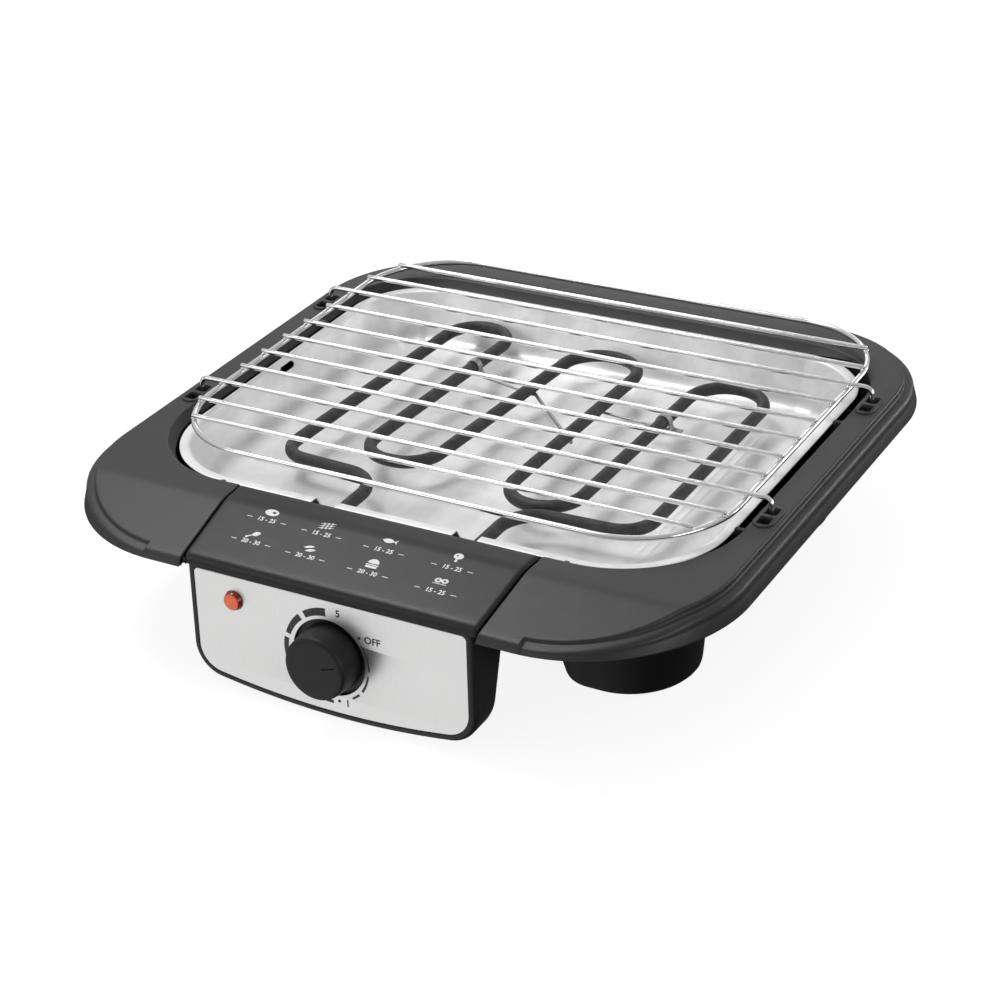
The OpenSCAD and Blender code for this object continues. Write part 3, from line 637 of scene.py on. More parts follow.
def rrect(cx, cy, w, h, r, n=6):
    pts = []
    for sx, sy, a0 in ((1, 1, 0), (-1, 1, 90), (-1, -1, 180), (1, -1, 270)):
        c = (cx + sx * (w / 2 - r), cy + sy * (h / 2 - r))
        pts += [(c[0] + r * math.cos(math.radians(a0 + a)), c[1] + r * math.sin(math.radians(a0 + a))) for a in np.linspace(0, 90, n + 1)]
    return pts


SOCKETS = [(s * 191.0, y) for s in (1, -1) for y in (-82.5, 64.0)]
tools = Bag()
for sx, sy in SOCKETS:
    o = [(sx + p[0], sy + p[1]) for p in stadium(24.4, 11.8)]
    tools.add(*loft([[(p[0], p[1], z) for p in o] for z in (80.0, 96.0)], True, True, True))
tool = tools.made("tool", None, None, None, smooth=False)
cut(rim, tool)
shade(rim, 40)

bag = Bag()
for sx, sy in SOCKETS:
    outl = [(25.0, 12.4, 79.4), (25.0, 12.4, 91.3), (24.85, 12.25, 91.62), (24.5, 11.9, 91.86), (24.0, 11.4, 91.95)]
    rr = [[(sx + p[0], sy + p[1], z) for p in stadium(l, w)] for l, w, z in outl]
    v, f = loft(rr, True, True, False)
    k0 = len(v)
    top = [(p[0], p[1]) for p in rr[-1]]
    holes = []
    for dy, depth in ((5.5, 11.0), (-5.5, 5.0)):
        h0 = rrect(sx, sy + dy, 8.0, 8.6, 1.6)
        h1 = rrect(sx, sy + dy, 7.4, 8.0, 1.3)
        holes.append((h0, h1, depth))
    # the top face between the outline and the two pockets
    loops = [top] + [h[0][::-1] for h in holes]
    flat = [p for lp in loops for p in lp]
    idx = list(range((len(rr) - 1) * len(top), len(rr) * len(top)))
    for h0, h1, depth in holes:
        m0 = len(v)
        v += [(p[0], p[1], 91.95) for p in h0[::-1]]
        idx += list(range(m0, m0 + len(h0)))
        levels = [(h0[::-1], 91.95), (h1[::-1], 91.55), (h1[::-1], 91.0 - depth)]
        prev = list(range(m0, m0 + len(h0)))
        for lp, z in levels[1:]:
            m1 = len(v)
            v += [(p[0], p[1], z) for p in lp]
            cur = list(range(m1, m1 + len(lp)))
            for i in range(len(cur)):
                j = (i + 1) % len(cur)
                f.append((prev[i], prev[j], cur[j], cur[i]))
            prev = cur
        f.append(tuple(prev))
    for t in tessellate_polygon([[Vector((p[0], p[1], 0)) for p in lp] for lp in loops]):
        f.append(tuple(idx[i] for i in t))
    bag.add(v, f)
sockets = bag.made("rack_sockets", M["base"], "base", "base_plastic", angle=40)


# tub and feet: one moulding with the rim
def closed_curve(x, f, b, rf, rb, inset, narc=24, nx=16, ny=16, rmin=3.0):
    x, f, b = x - inset, f + inset, b - inset
    rf, rb = max(rf - inset, rmin), max(rb - inset, rmin)
    pts = []
    for u in np.linspace(-1, 1, nx + 1)[:-1]:
        pts.append(((x - rf) * u, f))
    for a in np.linspace(-90, 0, narc + 1)[:-1]:
        t = math.radians(a)
        pts.append((x - rf + rf * math.cos(t), f + rf + rf * math.sin(t)))
    for u in np.linspace(0, 1, ny + 1)[:-1]:
        pts.append((x, f + rf + (b - rb - f - rf) * u))
    for a in np.linspace(0, 90, narc + 1)[:-1]:
        t = math.radians(a)
        pts.append((x - rb + rb * math.cos(t), b - rb + rb * math.sin(t)))
    for u in np.linspace(1, -1, nx + 1)[:-1]:
        pts.append(((x - rb) * u, b))
    for a in np.linspace(90, 180, narc + 1)[:-1]:
        t = math.radians(a)
        pts.append((-x + rb + rb * math.cos(t), b - rb + rb * math.sin(t)))
    for u in np.linspace(1, 0, ny + 1)[:-1]:
        pts.append((-x, f + rf + (b - rb - f - rf) * u))
    for a in np.linspace(180, 270, narc + 1)[:-1]:
        t = math.radians(a)
        pts.append((-x + rf + rf * math.cos(t), f + rf + rf * math.sin(t)))
    return pts


def tub_ring(o, z):
    return [(p[0], p[1], z) for p in closed_curve(184, -169, 129, 69, 57, -o)]


tub_profile = [(-2.4, 52.0), (0.2, 52.0), (1.4, 52.35), (2.25, 53.1), (2.6, 54.3), (2.6, 63.6), (0.0, 63.6), (0.0, 57.4),
               (-0.35, 56.0), (-1.3, 55.0), (-2.8, 54.6)]
v, f = loft([tub_ring(o, z) for o, z in tub_profile], True)
n = len(tub_ring(0, 0))
f.append(tuple(range(n)))
f.append(tuple(range((len(tub_profile) - 1) * n, len(tub_profile) * n))[::-1])
tub = make("base_tub", v, f, M["base"], "base", "base_plastic", angle=35)

CIRCLES = [((123, -117), 40), ((114, -136), 21), ((109, -114), 14), ((149, -114), 14)]


def foot_outline(o, n=96):
    pts = []
    for k in range(n):
        a = 2 * math.pi * k / n
        d = (math.cos(a), math.sin(a))
        c, r = max(CIRCLES, key=lambda q: q[0][0] * d[0] + q[0][1] * d[1] + q[1])
        pts.append((c[0] + (r + o) * d[0], c[1] + (r + o) * d[1]))
    return pts


def at_feet(p, s, r):
    x, y = p
    if r:
        y = 2 * -25 - y
    return (s * x, y)


for s in (1, -1):
    for r in (0, 1):
        prof = [(-4.6, 2.0), (-3.4, 2.1), (-1.9, 2.7), (-0.9, 3.7), (-0.25, 5.1), (0.0, 6.6), (1.3, 18.0), (2.6, 30.0), (4.0, 43.0), (4.7, 49.6), (5.3, 53.2)]
        v, f = loft([[(*at_feet(p, s, r), z) for p in foot_outline(o)] for o, z in prof], True, True, True)
        foot = make("tool", v, f, None, None, None, smooth=False)
        cut(tub, foot, "UNION")
wells = Bag()
for s in (1, -1):
    for r in (0, 1):
        ring = [(123 + 32 * math.cos(math.radians(a)), -117 + 32 * math.sin(math.radians(a))) for a in np.arange(0, 360, 6)]
        rr = []
        for o, z in ((0.88, 5.0), (1.0, 8.0), (1.0, 60.0)):
            rr.append([(*at_feet((123 + (p[0] - 123) * o, -117 + (p[1] + 117) * o), s, r), z) for p in ring])
        wells.add(*loft(rr, True, True, True))
tool = wells.made("tool", None, None, None, smooth=False)
cut(tub, tool)
tub.data.materials.clear()
tub.data.materials.append(M["base"])
shade(tub, 35)

bag = Bag()
# shelf under the control unit's neck and the side walls of the gap
w0, w1 = notch_w(-171) + WALL, notch_w(-206) + WALL
for (ya, yb, za, zb) in ((-203.8, -169.8, 61.0, 63.6),):
    bag.add(*rounded_box((-97.6, ya, za), (97.6, yb, zb), 0.8))
for s in (1, -1):
    rr = []
    for y in np.linspace(-169.6, -235.5, 34):
        x = s * notch_w(y)
        xo = s * (notch_w(y) + WALL)
        zt = ztop(y) - 1.6
        low = 61.0 if y > -206 else 61.0 + (-206 - y) * (16.2 / 34.0)
        low = min(low, zt - 1.0)
        if y < -230:
            zt = zt - (-230 - y) * 0.55
            low = min(low, zt - 0.5)
        rr.append([(x + s * 0.02, y, low), (xo, y, low), (xo, y, zt), (x + s * 0.02, y, zt)])
    bag.add(*loft(rr, True, True, True))


def rib(x, y, a, gap=8, top=89.9, beside=None):
    c, s_ = math.cos(math.radians(a)), math.sin(math.radians(a))

    def at(u, v, w):
        return (x + u * c - v * s_, y + u * s_ + v * c, w)
    bag.add(*rounded_box((-1, -1.5, 54), (gap + 2, 1.5, min(top, 86.9)), 0.5, at, 3))
    if top > 88:
        bag.add(*rounded_box((-1, -1.5, 85.9), (beside or gap - 0.7, 1.5, top), 0.6, at, 3))


for y in (-98, 40):
    rib(184, y, 180, beside=5.8)
    rib(-184, y, 0)
for x in (-90, 90):
    rib(x, 129, -90, top=85.6)
for s in (-1, 1):
    rib(s * 112, -169, 90, 3)
bag.made("base_ribs", M["base"], "base", "base_plastic", angle=35)

# -------------------------------------------------------------------- tray
TX, TF, TB, TRF, TRB = 176, -166, 121, 62, 50
walls = [(0.35, 87.05), (0.05, 87.3), (0.0, 87.6), (0.25, 87.88), (0.8, 88.0), (2.4, 88.0), (4.2, 88.0), (5.2, 87.95), (6.0, 87.65), (6.6, 87.0),
         (6.98, 86.25), (7.6, 84.95), (8.2, 83.7), (8.55, 83.0), (9.9, 80.2), (11.0, 78.1), (12.0, 76.0), (13.5, 72.9), (15.0, 69.9), (15.9, 68.0), (16.9, 65.9), (17.7, 64.0),
         (18.8, 62.2), (20.3, 60.5), (22.3, 59.2), (24.8, 58.35), (28.0, 58.0)]
floor_in = [30.5, 33, 35.4, 36.0, 36.5, 37.0, 37.5, 38.0, 38.5, 39.0, 39.5, 40.0, 40.6, 43, 46, 49, 51.5, 53.0, 53.6, 54.2, 54.8, 55.4, 56.0, 56.6,
            57.2, 57.8, 58.4, 59.0, 59.6, 60.2, 60.8, 61.4, 63, 66] + list(range(70, 140, 4)) + [140.5]


def tray_curve(inset):
    """(point, outward normal, tag, angle) round the tray, from the front middle."""
    x, f, b = TX - inset, TF + inset, TB - inset
    rf, rb = max(TRF - inset, 3.0), max(TRB - inset, 3.0)
    out = []
    xf = x - rf

    def front(s):
        fixed = [0.0, 10, 20, 30, 36, 38.0, 42, 46, 50, 54.0, 56, 66, 76, 86, 96, 105]
        w = [q for q in fixed if q < 96] + [100.0, 107.0]
        lim = min(1.0, xf / 112.0)
        return [(s * q * lim if inset > 40 else s * min(q, xf - 0.2), f) for q in w]

    fr = front(1)
    out += [(p, (0, -1), "f", 0) for p in fr]
    for a in np.linspace(-90, 0, 73):
        t = math.radians(a)
        out.append(((xf + rf * math.cos(t), f + rf + rf * math.sin(t)), (math.cos(t), math.sin(t)), "c", a + 90))
    ya, yb = f + rf, b - rb
    ys = sorted(set([-96, -86, -76, -66, -56, -46, -36, -27.0, -25.6, -20, -13.4, -12.0, -4.0, 6, 16, 26, 36, 46, 56, 64]))
    for y in ys:
        yy = min(max(y, ya + 0.3 + (y + 96) * 0.001), yb - 0.3 - (64 - y) * 0.001)
        out.append(((x, yy), (1, 0), "r", 0))
    for a in np.linspace(0, 90, 73):
        t = math.radians(a)
        out.append(((x - rb + rb * math.cos(t), b - rb + rb * math.sin(t)), (math.cos(t), math.sin(t)), "c", a))
    for u in np.linspace(1, 0, 14)[1:]:
        out.append((((x - rb) * u, b), (0, 1), "b", 0))
    left = [((-p[0], p[1]), (-n[0], n[1]), "l" if g == "r" else g, a) for p, n, g, a in out[1:-1]][::-1]
    return out + left


def bead(d, w=1.1, h=0.3):
    return h * math.exp(-(d / w) ** 2 * 2.2)


rings, tags = [], None
profile = walls + [(i, 58.0) for i in floor_in]
for inset, z in profile:
    ring = []
    for (p, nrm, tag, ang) in tray_curve(inset):
        x, y, zz = p[0], p[1], z
        if tag == "c" and 7.0 < inset < 34:
            # drawn creases fan out in the corners
            fade = math.sin(math.pi * min(1.0, (inset - 7.0) / 22.0)) ** 0.8 if inset < 29 else 0.0
            edge = math.sin(math.radians(ang * 2)) ** 0.5 if 0 < ang < 90 else 0.0
            wv = math.cos(math.radians(ang * 16)) + 0.35 * math.cos(math.radians(ang * 27 + 40))
            d = 0.34 * fade * edge * wv
            x, y = x + nrm[0] * d * 0.75, y + nrm[1] * d * 0.75
            zz += -d * 0.5
        if inset > 20:
            q = noise.noise(Vector((x * 0.012, y * 0.012, 3.1)))
            q2 = noise.noise(Vector((x * 0.035, y * 0.03, 9.4)))
            zz += (0.26 * q + 0.05 * q2) * min(1.0, (inset - 20) / 14.0)
        elif 7 < inset <= 20 and tag != "c":
            q = noise.noise(Vector((x * 0.02, y * 0.02, 7.7)))
            x, y = x + nrm[0] * q * 0.12, y + nrm[1] * q * 0.12
        if inset > 30:
            # straight pressed beads along both sides
            ends = min(1.0, max(0.0, (y + 128) / 6.0)) * min(1.0, max(0.0, (82 - y) / 6.0))
            if tag in "lr":
                if x < 0:
                    zz += bead(x + 138) * ends
                else:
                    zz += (bead(x - 116.4) + bead(x - 121.6)) * ends
        ring.append((x, y, zz))
    rings.append(ring)
    tags = [t[2] for t in tray_curve(inset)]
n = len(rings[0])
verts = [p for r in rings for p in r]
faces = []
for a in range(len(rings) - 1):
    ia, ib = profile[a][0], profile[a + 1][0]
    for i in range(n):
        j = (i + 1) % n
        p, q = rings[0][i], rings[0][j]
        xa, xb = sorted((abs(p[0]), abs(q[0])))
        if p[1] < -165 and q[1] < -165 and xa >= 37.9 and xb <= 54.1 and ib <= 15.91:
            continue   # gaps for the two leads
        za, zb = profile[a][1], profile[a + 1][1]
        ys = sorted((p[1], q[1]))
        if abs(p[0]) > 175.6 and abs(q[0]) > 175.6 and ys[0] >= -27.01 and ys[1] <= -11.99 and za <= 87.01 and zb >= 82.99:
            end = ys[1] < -25 or ys[0] > -14
            if not end or (za < 87 and zb > 83.01):
                continue   # a slot with rounded ends in each side wall
        faces.append((a * n + i, a * n + j, (a + 1) * n + j, (a + 1) * n + i))
faces.append(tuple(range((len(rings) - 1) * n, len(rings) * n)))
me = bpy.data.meshes.new("drip_tray_sheet")
me.from_pydata([to_m((v[0] * 1.003 + 1.2, v[1], v[2])) for v in verts], [], faces)
bm = bmesh.new()
bm.from_mesh(me)
bmesh.ops.remove_doubles(bm, verts=bm.verts, dist=1e-6)
loose = [v for v in bm.verts if not v.link_faces]
bmesh.ops.delete(bm, geom=loose, context="VERTS")
bmesh.ops.recalc_face_normals(bm, faces=bm.faces)
mid = min(bm.faces, key=lambda fc: (fc.calc_center_median() - Vector((0, 0.022, 0.058))).length)
if mid.normal.z < 0:
    bmesh.ops.reverse_faces(bm, faces=bm.faces)
bm.to_mesh(me)
bm.free()
tray = bpy.data.objects.new("drip_tray_sheet", me)
bpy.context.scene.collection.objects.link(tray)
me.materials.append(M["tray"])
md = tray.modifiers.new("sheet", "SOLIDIFY")
md.thickness = 0.0008
md.offset = -1.0
finished(tray)
shade(tray, 42)
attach(tray, "tray")
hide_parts("drip_tray")

# -------------------------------------------------------------------- rack
LOOP_Z, WIRE_Z, SOCK_X = 96.8, 100.0, 191.0
WIRE_Y = [-123, -102, -77.5, -54, -31, -7, 17, 43.5, 69, 93, 118.5]
x, y, r = 176, 147, 60
path = []
path += run((-(x - r), -y, LOOP_Z), (x - r, -y, LOOP_Z), 24)[:-1]
path += arc((x - r, -(y - r)), r, -90, 0, 36, other=LOOP_Z)[:-1]
path += run((x, -(y - r), LOOP_Z), (x, y - r, LOOP_Z), 20)[:-1]
path += arc((x - r, y - r), r, 0, 90, 36, other=LOOP_Z)[:-1]
path += run((x - r, y, LOOP_Z), (-(x - r), y, LOOP_Z), 24)[:-1]
path += arc((-(x - r), y - r), r, 90, 180, 36, other=LOOP_Z)[:-1]
path += run((-x, y - r, LOOP_Z), (-x, -(y - r), LOOP_Z), 20)[:-1]
path += arc((-(x - r), -(y - r)), r, 180, 270, 36, other=LOOP_Z)[:-1]
loop_v, loop_f = tube(path, 1.8, 28, closed=True)
bag = Bag()
bag.add(loop_v, loop_f)
bag.made("rack_outer_wire", M["chrome"], "rack", "rack_chrome", replaces=("rack_loop",), angle=60)


def reach(yy):
    t = abs(yy) - (147 - 60)
    return 116 + math.sqrt(3600 - t * t) + 1.0 if t > 0 else 177.5


def ball(c, rx, ry, rz, n=14, m=20):
    rr = []
    for i in range(1, n):
        a = math.pi * i / n
        rr.append([(c[0] + rx * math.sin(a) * math.cos(2 * math.pi * k / m), c[1] + ry * math.sin(a) * math.sin(2 * math.pi * k / m),
                    c[2] + rz * math.cos(a)) for k in range(m)])
    return loft(rr, True, True, True)


bag, welds = Bag(), Bag()
for i, yy in enumerate(WIRE_Y):
    if i in (2, 8):
        continue
    h = reach(yy)
    sag = [(u, yy, WIRE_Z) for u in np.linspace(-h, h, 41)]
    bag.add(*tube(sag, 1.5, 24, round_end=0.5))
hooks = Bag()
for i in (2, 8):
    yy, rb = WIRE_Y[i], 5.0
    p = [(-SOCK_X, yy, 80.3), (-SOCK_X, yy, 84.0), (-SOCK_X, yy, 90.0)]
    p += arc((-(SOCK_X - rb), WIRE_Z - rb), rb, 180, 90, 16, "xz", yy)
    p += run((-(SOCK_X - rb), yy, WIRE_Z), (SOCK_X - rb, yy, WIRE_Z), 40)[1:-1]
    p += arc((SOCK_X - rb, WIRE_Z - rb), rb, 90, 0, 16, "xz", yy)
    p += [(SOCK_X, yy, 90.0), (SOCK_X, yy, 84.0), (SOCK_X, yy, 80.3)]
    hooks.add(*tube(p, 1.5, 24, round_end=0.5))
for i, yy in enumerate(WIRE_Y):
    t = abs(yy) - 87
    xx = 116 + math.sqrt(3600 - t * t) if t > 0 else 176.0
    for s in (1, -1):
        welds.add(*ball((s * xx, yy, 98.45), 1.75, 1.95, 1.0))
bag.made("rack_cross_bars", M["chrome"], "rack", "rack_chrome", replaces=("rack_cross_wires",), angle=60)
hooks.made("rack_hook_bars", M["chrome"], "rack", "rack_chrome", replaces=("rack_hook_wires",), angle=60)
welds.made("rack_welds", M["chrome"], "rack", "rack_chrome", angle=60)

# ----------------------------------------------------------------- element
TZ = 74.0
LEAD = 46.0
ROUTE = [(-LEAD, -190), (-LEAD, -105.5), (-119.5, -101.5), (-110, 102), (-67.5, 102), (-77.5, -83), (-31, -83), (-17.5, 94.5), (32, 94.5),
         (27, -97), (72.5, -97), (75, 84), (122.5, 84), (123, -102.5), (LEAD, -106.0), (LEAD, -190)]
ROUTE_R = [0, 22, 18, 20.5, 20.5, 21.5, 21.5, 24, 24, 22, 22, 23.5, 23.5, 19, 22, 0]


def bent(pts, radii, z, step=7.0, arc_step=4.0):
    """Straight runs joined by round bends, as a dense line at height z."""
    out = []
    P = [Vector(p) for p in pts]
    at_end = P[0]
    for k in range(1, len(P)):
        u = (P[k] - P[k - 1]).normalized()
        if k < len(P) - 1:
            w = (P[k + 1] - P[k]).normalized()
            t = math.atan2(u.x * w.y - u.y * w.x, u.dot(w))
            d = radii[k] * math.tan(abs(t) / 2)
        else:
            t, d = 0.0, 0.0
        b = P[k] - u * d
        n = max(2, int((b - at_end).length / step))
        out += [at_end + (b - at_end) * i / n for i in range(n)]
        if t:
            sg = 1 if t > 0 else -1
            c = b + Vector((-u.y, u.x)) * sg * radii[k]
            a0 = math.atan2((b - c).y, (b - c).x)
            m = max(4, int(abs(math.degrees(t)) / arc_step))
            out += [c + Vector((math.cos(a0 + t * i / m), math.sin(a0 + t * i / m))) * radii[k] for i in range(m)]
            at_end = P[k] + w * d
        else:
            out.append(b)
    return [(q.x, q.y, z) for q in out]


path = bent(ROUTE, ROUTE_R, TZ)
v, f = tube(path, 3.9, 36, round_end=0.2)
make("heating_tube", v, f, M["sheath"], "unit", "element_sheath", replaces=("heating_element",), angle=60)

# ------------------------------------------------------------ control unit
TL = math.tan(math.radians(3.5))
LEAN = math.radians(3.5)


def face_y(z):
    return -234.2 - (78 - z) * TL


def on_face(x, z):
    o = (x, face_y(z), z)
    return lambda u, v, w: (o[0] + u, o[1] + v * math.sin(LEAN) - w * math.cos(LEAN), o[2] + v * math.cos(LEAN) + w * math.sin(LEAN))


A_SL = math.atan(K_SLOPE)


def on_slope(u, s, w, top=92.0):
    """A point on the cover's slope: u across, s down the slope from the crease, w above it."""
    return (u, Y_CREASE - s * math.cos(A_SL) - w * math.sin(A_SL), top - s * math.sin(A_SL) + w * math.cos(A_SL))


BOX_X, BOX_B, BOW_R, COR_R = 92.0, 0.7, 500.0, 20.0
COR_Z = BOW_R + BOX_B - math.sqrt((BOW_R - COR_R) ** 2 - (BOX_X - COR_R) ** 2)
PHI = math.atan2(COR_Z - (BOW_R + BOX_B), BOX_X - COR_R)


def outline(o, top, rt, w=None):
    """Front view, clockwise from the top middle on the right, then mirrored."""
    w = BOX_X + o if w is None else w
    pts = [((w - rt) * u, top) for u in np.linspace(0, 1, 9)[:-1]]
    pts += [(w - rt + rt * math.sin(math.radians(a)), top - rt + rt * math.cos(math.radians(a))) for a in np.linspace(0, 90, 9)]
    pts += [(w, top - rt + (COR_Z - top + rt) * u) for u in np.linspace(0, 1, 13)[1:-1]]
    r = COR_R + o
    pts += [(BOX_X - COR_R + r * math.cos(a), COR_Z + r * math.sin(a)) for a in np.linspace(0, PHI, 29)]
    R = BOW_R + o
    pts += [(R * math.cos(a), BOW_R + BOX_B + R * math.sin(a)) for a in np.linspace(PHI, -math.pi / 2, 21)[1:]]
    return pts + [(-p[0], p[1]) for p in pts[1:-1]][::-1]


def rear_y(z):
    return -204.5 if z > 60 else -204.5 - (60 - z) / 3


def facing(pts, depth):
    return [(p[0], face_y(p[1]) + depth, p[1]) for p in pts]


TOPZ = 75.15
rings = [facing(outline(-4.6, 74.0, 3.1), 2.6), facing(outline(-4.6, 74.0, 3.1), 0.25), facing(outline(-4.5, 74.1, 3.2), 0.08),
         facing(outline(-4.2, 74.4, 2.0), 0.0)]
ER = 3.8
for a in np.linspace(0, 90, 13):
    s, d = ER * (1 - math.sin(math.radians(a))), ER * (1 - math.cos(math.radians(a)))
    rings.append(facing(outline(-s, TOPZ, 0.6), d))
for d in (8, 14, 20):
    rings.append([(p[0], min(face_y(p[1]) + d, rear_y(p[1]) - 3), p[1]) for p in outline(0, TOPZ, 0.6)])
for s, d in ((0.0, 1.6), (0.12, 0.9), (0.5, 0.3), (1.3, 0.0), (3.0, 0.0)):
    rings.append([(p[0], rear_y(p[1]) - d, p[1]) for p in outline(-s, TOPZ - (s if s > 1 else 0), 0.6)])
v, f = loft(rings, True, True, True)
bag = Bag()
bag.add(v, f)
# upper part of the box, under the cover, and the neck over the base's rim
rr = []
for y in np.linspace(-233.0, -190.0, 16):
    z = min(86.0, ztop(y, 92.0) - 3.0)
    rr.append([(-91.6, y, 74.0), (91.6, y, 74.0), (91.6, y, max(z, 74.5)), (-91.6, y, max(z, 74.5))])
bag.add(*loft(rr, True, True, True))
bag.add(*rounded_box((-93, -205, 64.2), (93, -172, 84.3), 1.2))
bag.add(*rounded_box((-92.6, -189.0, 80.0), (92.6, -173.8, 86.4), 0.8))
for s in (-1, 1):
    fin = [(-173, 84), (-169.5, 84), (-169.5, 92.0), (-169.75, 92.6), (-171.1, 93.5), (-171.4, 93.3), (-171.4, 84.5), (-173, 84.5)]
    rr = []
    for dx, sh in ((-1.0, 0.25), (-0.8, 0.0), (0.8, 0.0), (1.0, 0.25)):
        rr.append([(s * 46 + dx, p[0] + (0.25 if p[0] < -171 else -0.25) * (sh / 0.25), p[1] - sh * (1 if p[1] > 90 else 0)) for p in fin])
    bag.add(*loft(rr, True, True, True))
housing = bag.made("control_housing", M["unit"], "unit", "unit_plastic", replaces=("unit_housing",), angle=38)
v, f = lathe([(0.0001, -0.6), (23.0, -0.6), (23.2, -0.4), (23.2, 4.0), (0.0001, 4.0)], lambda u, v_, w: on_face(0, 39.0)(u, v_, w - 1.9), 144, False, False)
tool = make("tool", v, f, None, None, None, smooth=False)
cut(housing, tool)
# bore for the spindle and the switch's neck
v, f = lathe([(0.0001, -16.0), (5.4, -16.0), (5.4, 1.0), (0.0001, 1.0)], on_face(0, 39.0), 64, False, False)
tool = make("tool", v, f, None, None, None, smooth=False)
cut(housing, tool)
housing.data.materials.clear()
housing.data.materials.append(M["unit"])
shade(housing, 38)

# top cover, swept along its side line
line = [(-171.0, 84.6), (-171.0, 87.5), (-171.0, 90.2), (-171.12, 90.9), (-171.45, 91.5), (-171.95, 91.88), (-172.7, 92.0)]
line += [(y, 92.0) for y in (-175, -178, -181)]
line += [(y, ztop(y, 92.0, 4.0)) for y in np.linspace(-183, -191, 13)]
line += [(y, ztop(y, 92.0)) for y in np.linspace(-194, -227.6, 14)]
c0 = (-227.6, ztop(-227.6, 92.0))
# rounded front edge down to the plate
line += [(-229.4, 81.10), (-230.7, 80.62), (-231.9, 79.95), (-232.85, 79.05), (-233.5, 78.0), (-233.95, 76.9), (-234.2, 75.9), (-234.28, 75.25), (-234.1, 75.0), (-233.4, 74.9)]
nrm = []
for i in range(len(line)):
    a, b = Vector(line[max(i - 1, 0)]), Vector(line[min(i + 1, len(line) - 1)])
    t = (b - a).normalized()
    nrm.append(Vector((-t.y, t.x)) * -1)
# the normals point away from the unit's inside
edge = [(0.0, 7.0), (0.0, 4.0), (0.0, 2.6), (0.10, 1.75), (0.38, 1.08), (0.85, 0.55), (1.5, 0.2), (2.3, 0.03), (3.2, 0.0)]
mid = np.linspace(0, 1, 24)
rings = []
for (yy, zz), nn in zip(line, nrm):
    w = notch_w(yy) - 1.2
    lift = min(1.0, max(0.15, (92.0 - 75) / 17))
    row = []
    left = []
    for dx, d in edge:
        dd = min(d, 3.2) if zz < 79 or yy > -172.5 else d
        row.append((w - dx, yy - nn.x * dd, zz - nn.y * dd))
    body = [(w - 3.2 - 2 * (w - 3.2) * u, yy, zz) for u in mid[1:-1]]
    rings.append(row + body + [(-p[0], p[1], p[2]) for p in row][::-1])
v, f = loft(rings, False)
cover = make("control_cover", v, f, M["unit"], "unit", "unit_plastic", replaces=("unit_top_cover",), angle=45)
bm = bmesh.new()
bm.from_mesh(cover.data)
top_face = max(bm.faces, key=lambda fc: fc.calc_center_median().z)
if top_face.normal.z < 0:
    bmesh.ops.reverse_faces(bm, faces=bm.faces)
bm.to_mesh(cover.data)
bm.free()
md = cover.modifiers.new("shell", "SOLIDIFY")
md.thickness = 0.0016
md.offset = -1.0
finished(cover)
shade(cover, 45)

# face plate with its lamp hole and the round opening for the knob
KZ, LX, LZ = 39.0, -61.2, 59.3
CL = math.cos(LEAN)
holes = [[(LX + 6.0 * math.cos(a), LZ + 6.0 * CL * math.sin(a)) for a in np.linspace(0, 2 * math.pi, 73)[:-1]],
         [(23.3 * math.cos(a), KZ + 23.3 * CL * math.sin(a)) for a in np.linspace(0, 2 * math.pi, 145)[:-1]]]
levels = [(-4.8, 73.8, 2.9, 1.2), (-4.8, 73.8, 2.9, 0.42), (-4.86, 73.74, 2.85, 0.30), (-5.02, 73.58, 2.7, 0.22), (-5.25, 73.35, 2.5, 0.2)]
rr = [facing(outline(o, t, r), d) for o, t, r, d in levels]
v, f = loft(rr, True, False, False)
n = len(rr[0])
front, back = list(range((len(rr) - 1) * n, len(rr) * n)), list(range(n))
top = [(p[0], p[2]) for p in rr[-1]]
for hole, (hx, hz) in zip(holes, ((LX, LZ), (0.0, KZ))):
    hole.reverse()
    m0, k = len(v), len(hole)
    for sc, d in ((1.0, 0.2), (0.994, 0.26), (0.991, 0.42), (0.991, 1.2)):
        v += [(hx + (p[0] - hx) * sc, face_y(p[1]) + d, hz + (p[1] - hz) * sc) for p in hole]
    for lv in (0, 1, 2):
        for i in range(k):
            j = (i + 1) % k
            f.append((m0 + lv * k + i, m0 + lv * k + j, m0 + (lv + 1) * k + j, m0 + (lv + 1) * k + i))
    front += list(range(m0, m0 + k))
    back += list(range(m0 + 3 * k, m0 + 4 * k))
for t in tessellate_polygon([[Vector((p[0], p[1], 0)) for p in top]] + [[Vector((p[0], p[1], 0)) for p in hole] for hole in holes]):
    f.append(tuple(front[i] for i in t))
    f.append(tuple(back[i] for i in t)[::-1])
plate = make("steel_face_plate", v, f, M["face"], "unit", "face_steel", replaces=("face_plate",), angle=25)

# lamp lens, standing a little out of its hole
at = on_face(LX, LZ)
v, f = lathe([(0.0001, -5.0), (3.8, -5.0), (3.8, -1.15), (5.75, -1.1), (5.8, -0.2), (5.74, 0.3), (5.45, 1.3), (5.1, 2.2), (4.9, 2.52), (4.5, 2.74),
              (3.8, 2.84), (2.4, 2.92), (0.0001, 2.96)], at, 72, False, False)
make("lamp_window", v, f, M["lamp"], "unit", "lamp_plastic", replaces=("lamp_lens",), angle=50)

# knob, its base set in the dish
at = on_face(0, KZ)
prof = [(14.6, -1.3), (19.2, -1.35), (19.75, -1.25), (19.98, -0.9), (19.93, 0.2), (19.6, 4.6), (19.25, 9.0), (18.95, 13.0), (18.84, 13.7),
        (18.6, 14.25), (18.2, 14.7), (17.65, 15.05), (17.0, 15.27), (16.2, 15.38), (14.6, 15.4), (0.0001, 15.4)]
prof = [(14.2, -0.8)] + prof
v, f = lathe(prof, at, 160, True, False)
knob = make("control_knob", v, f, None, None, None, angle=30)
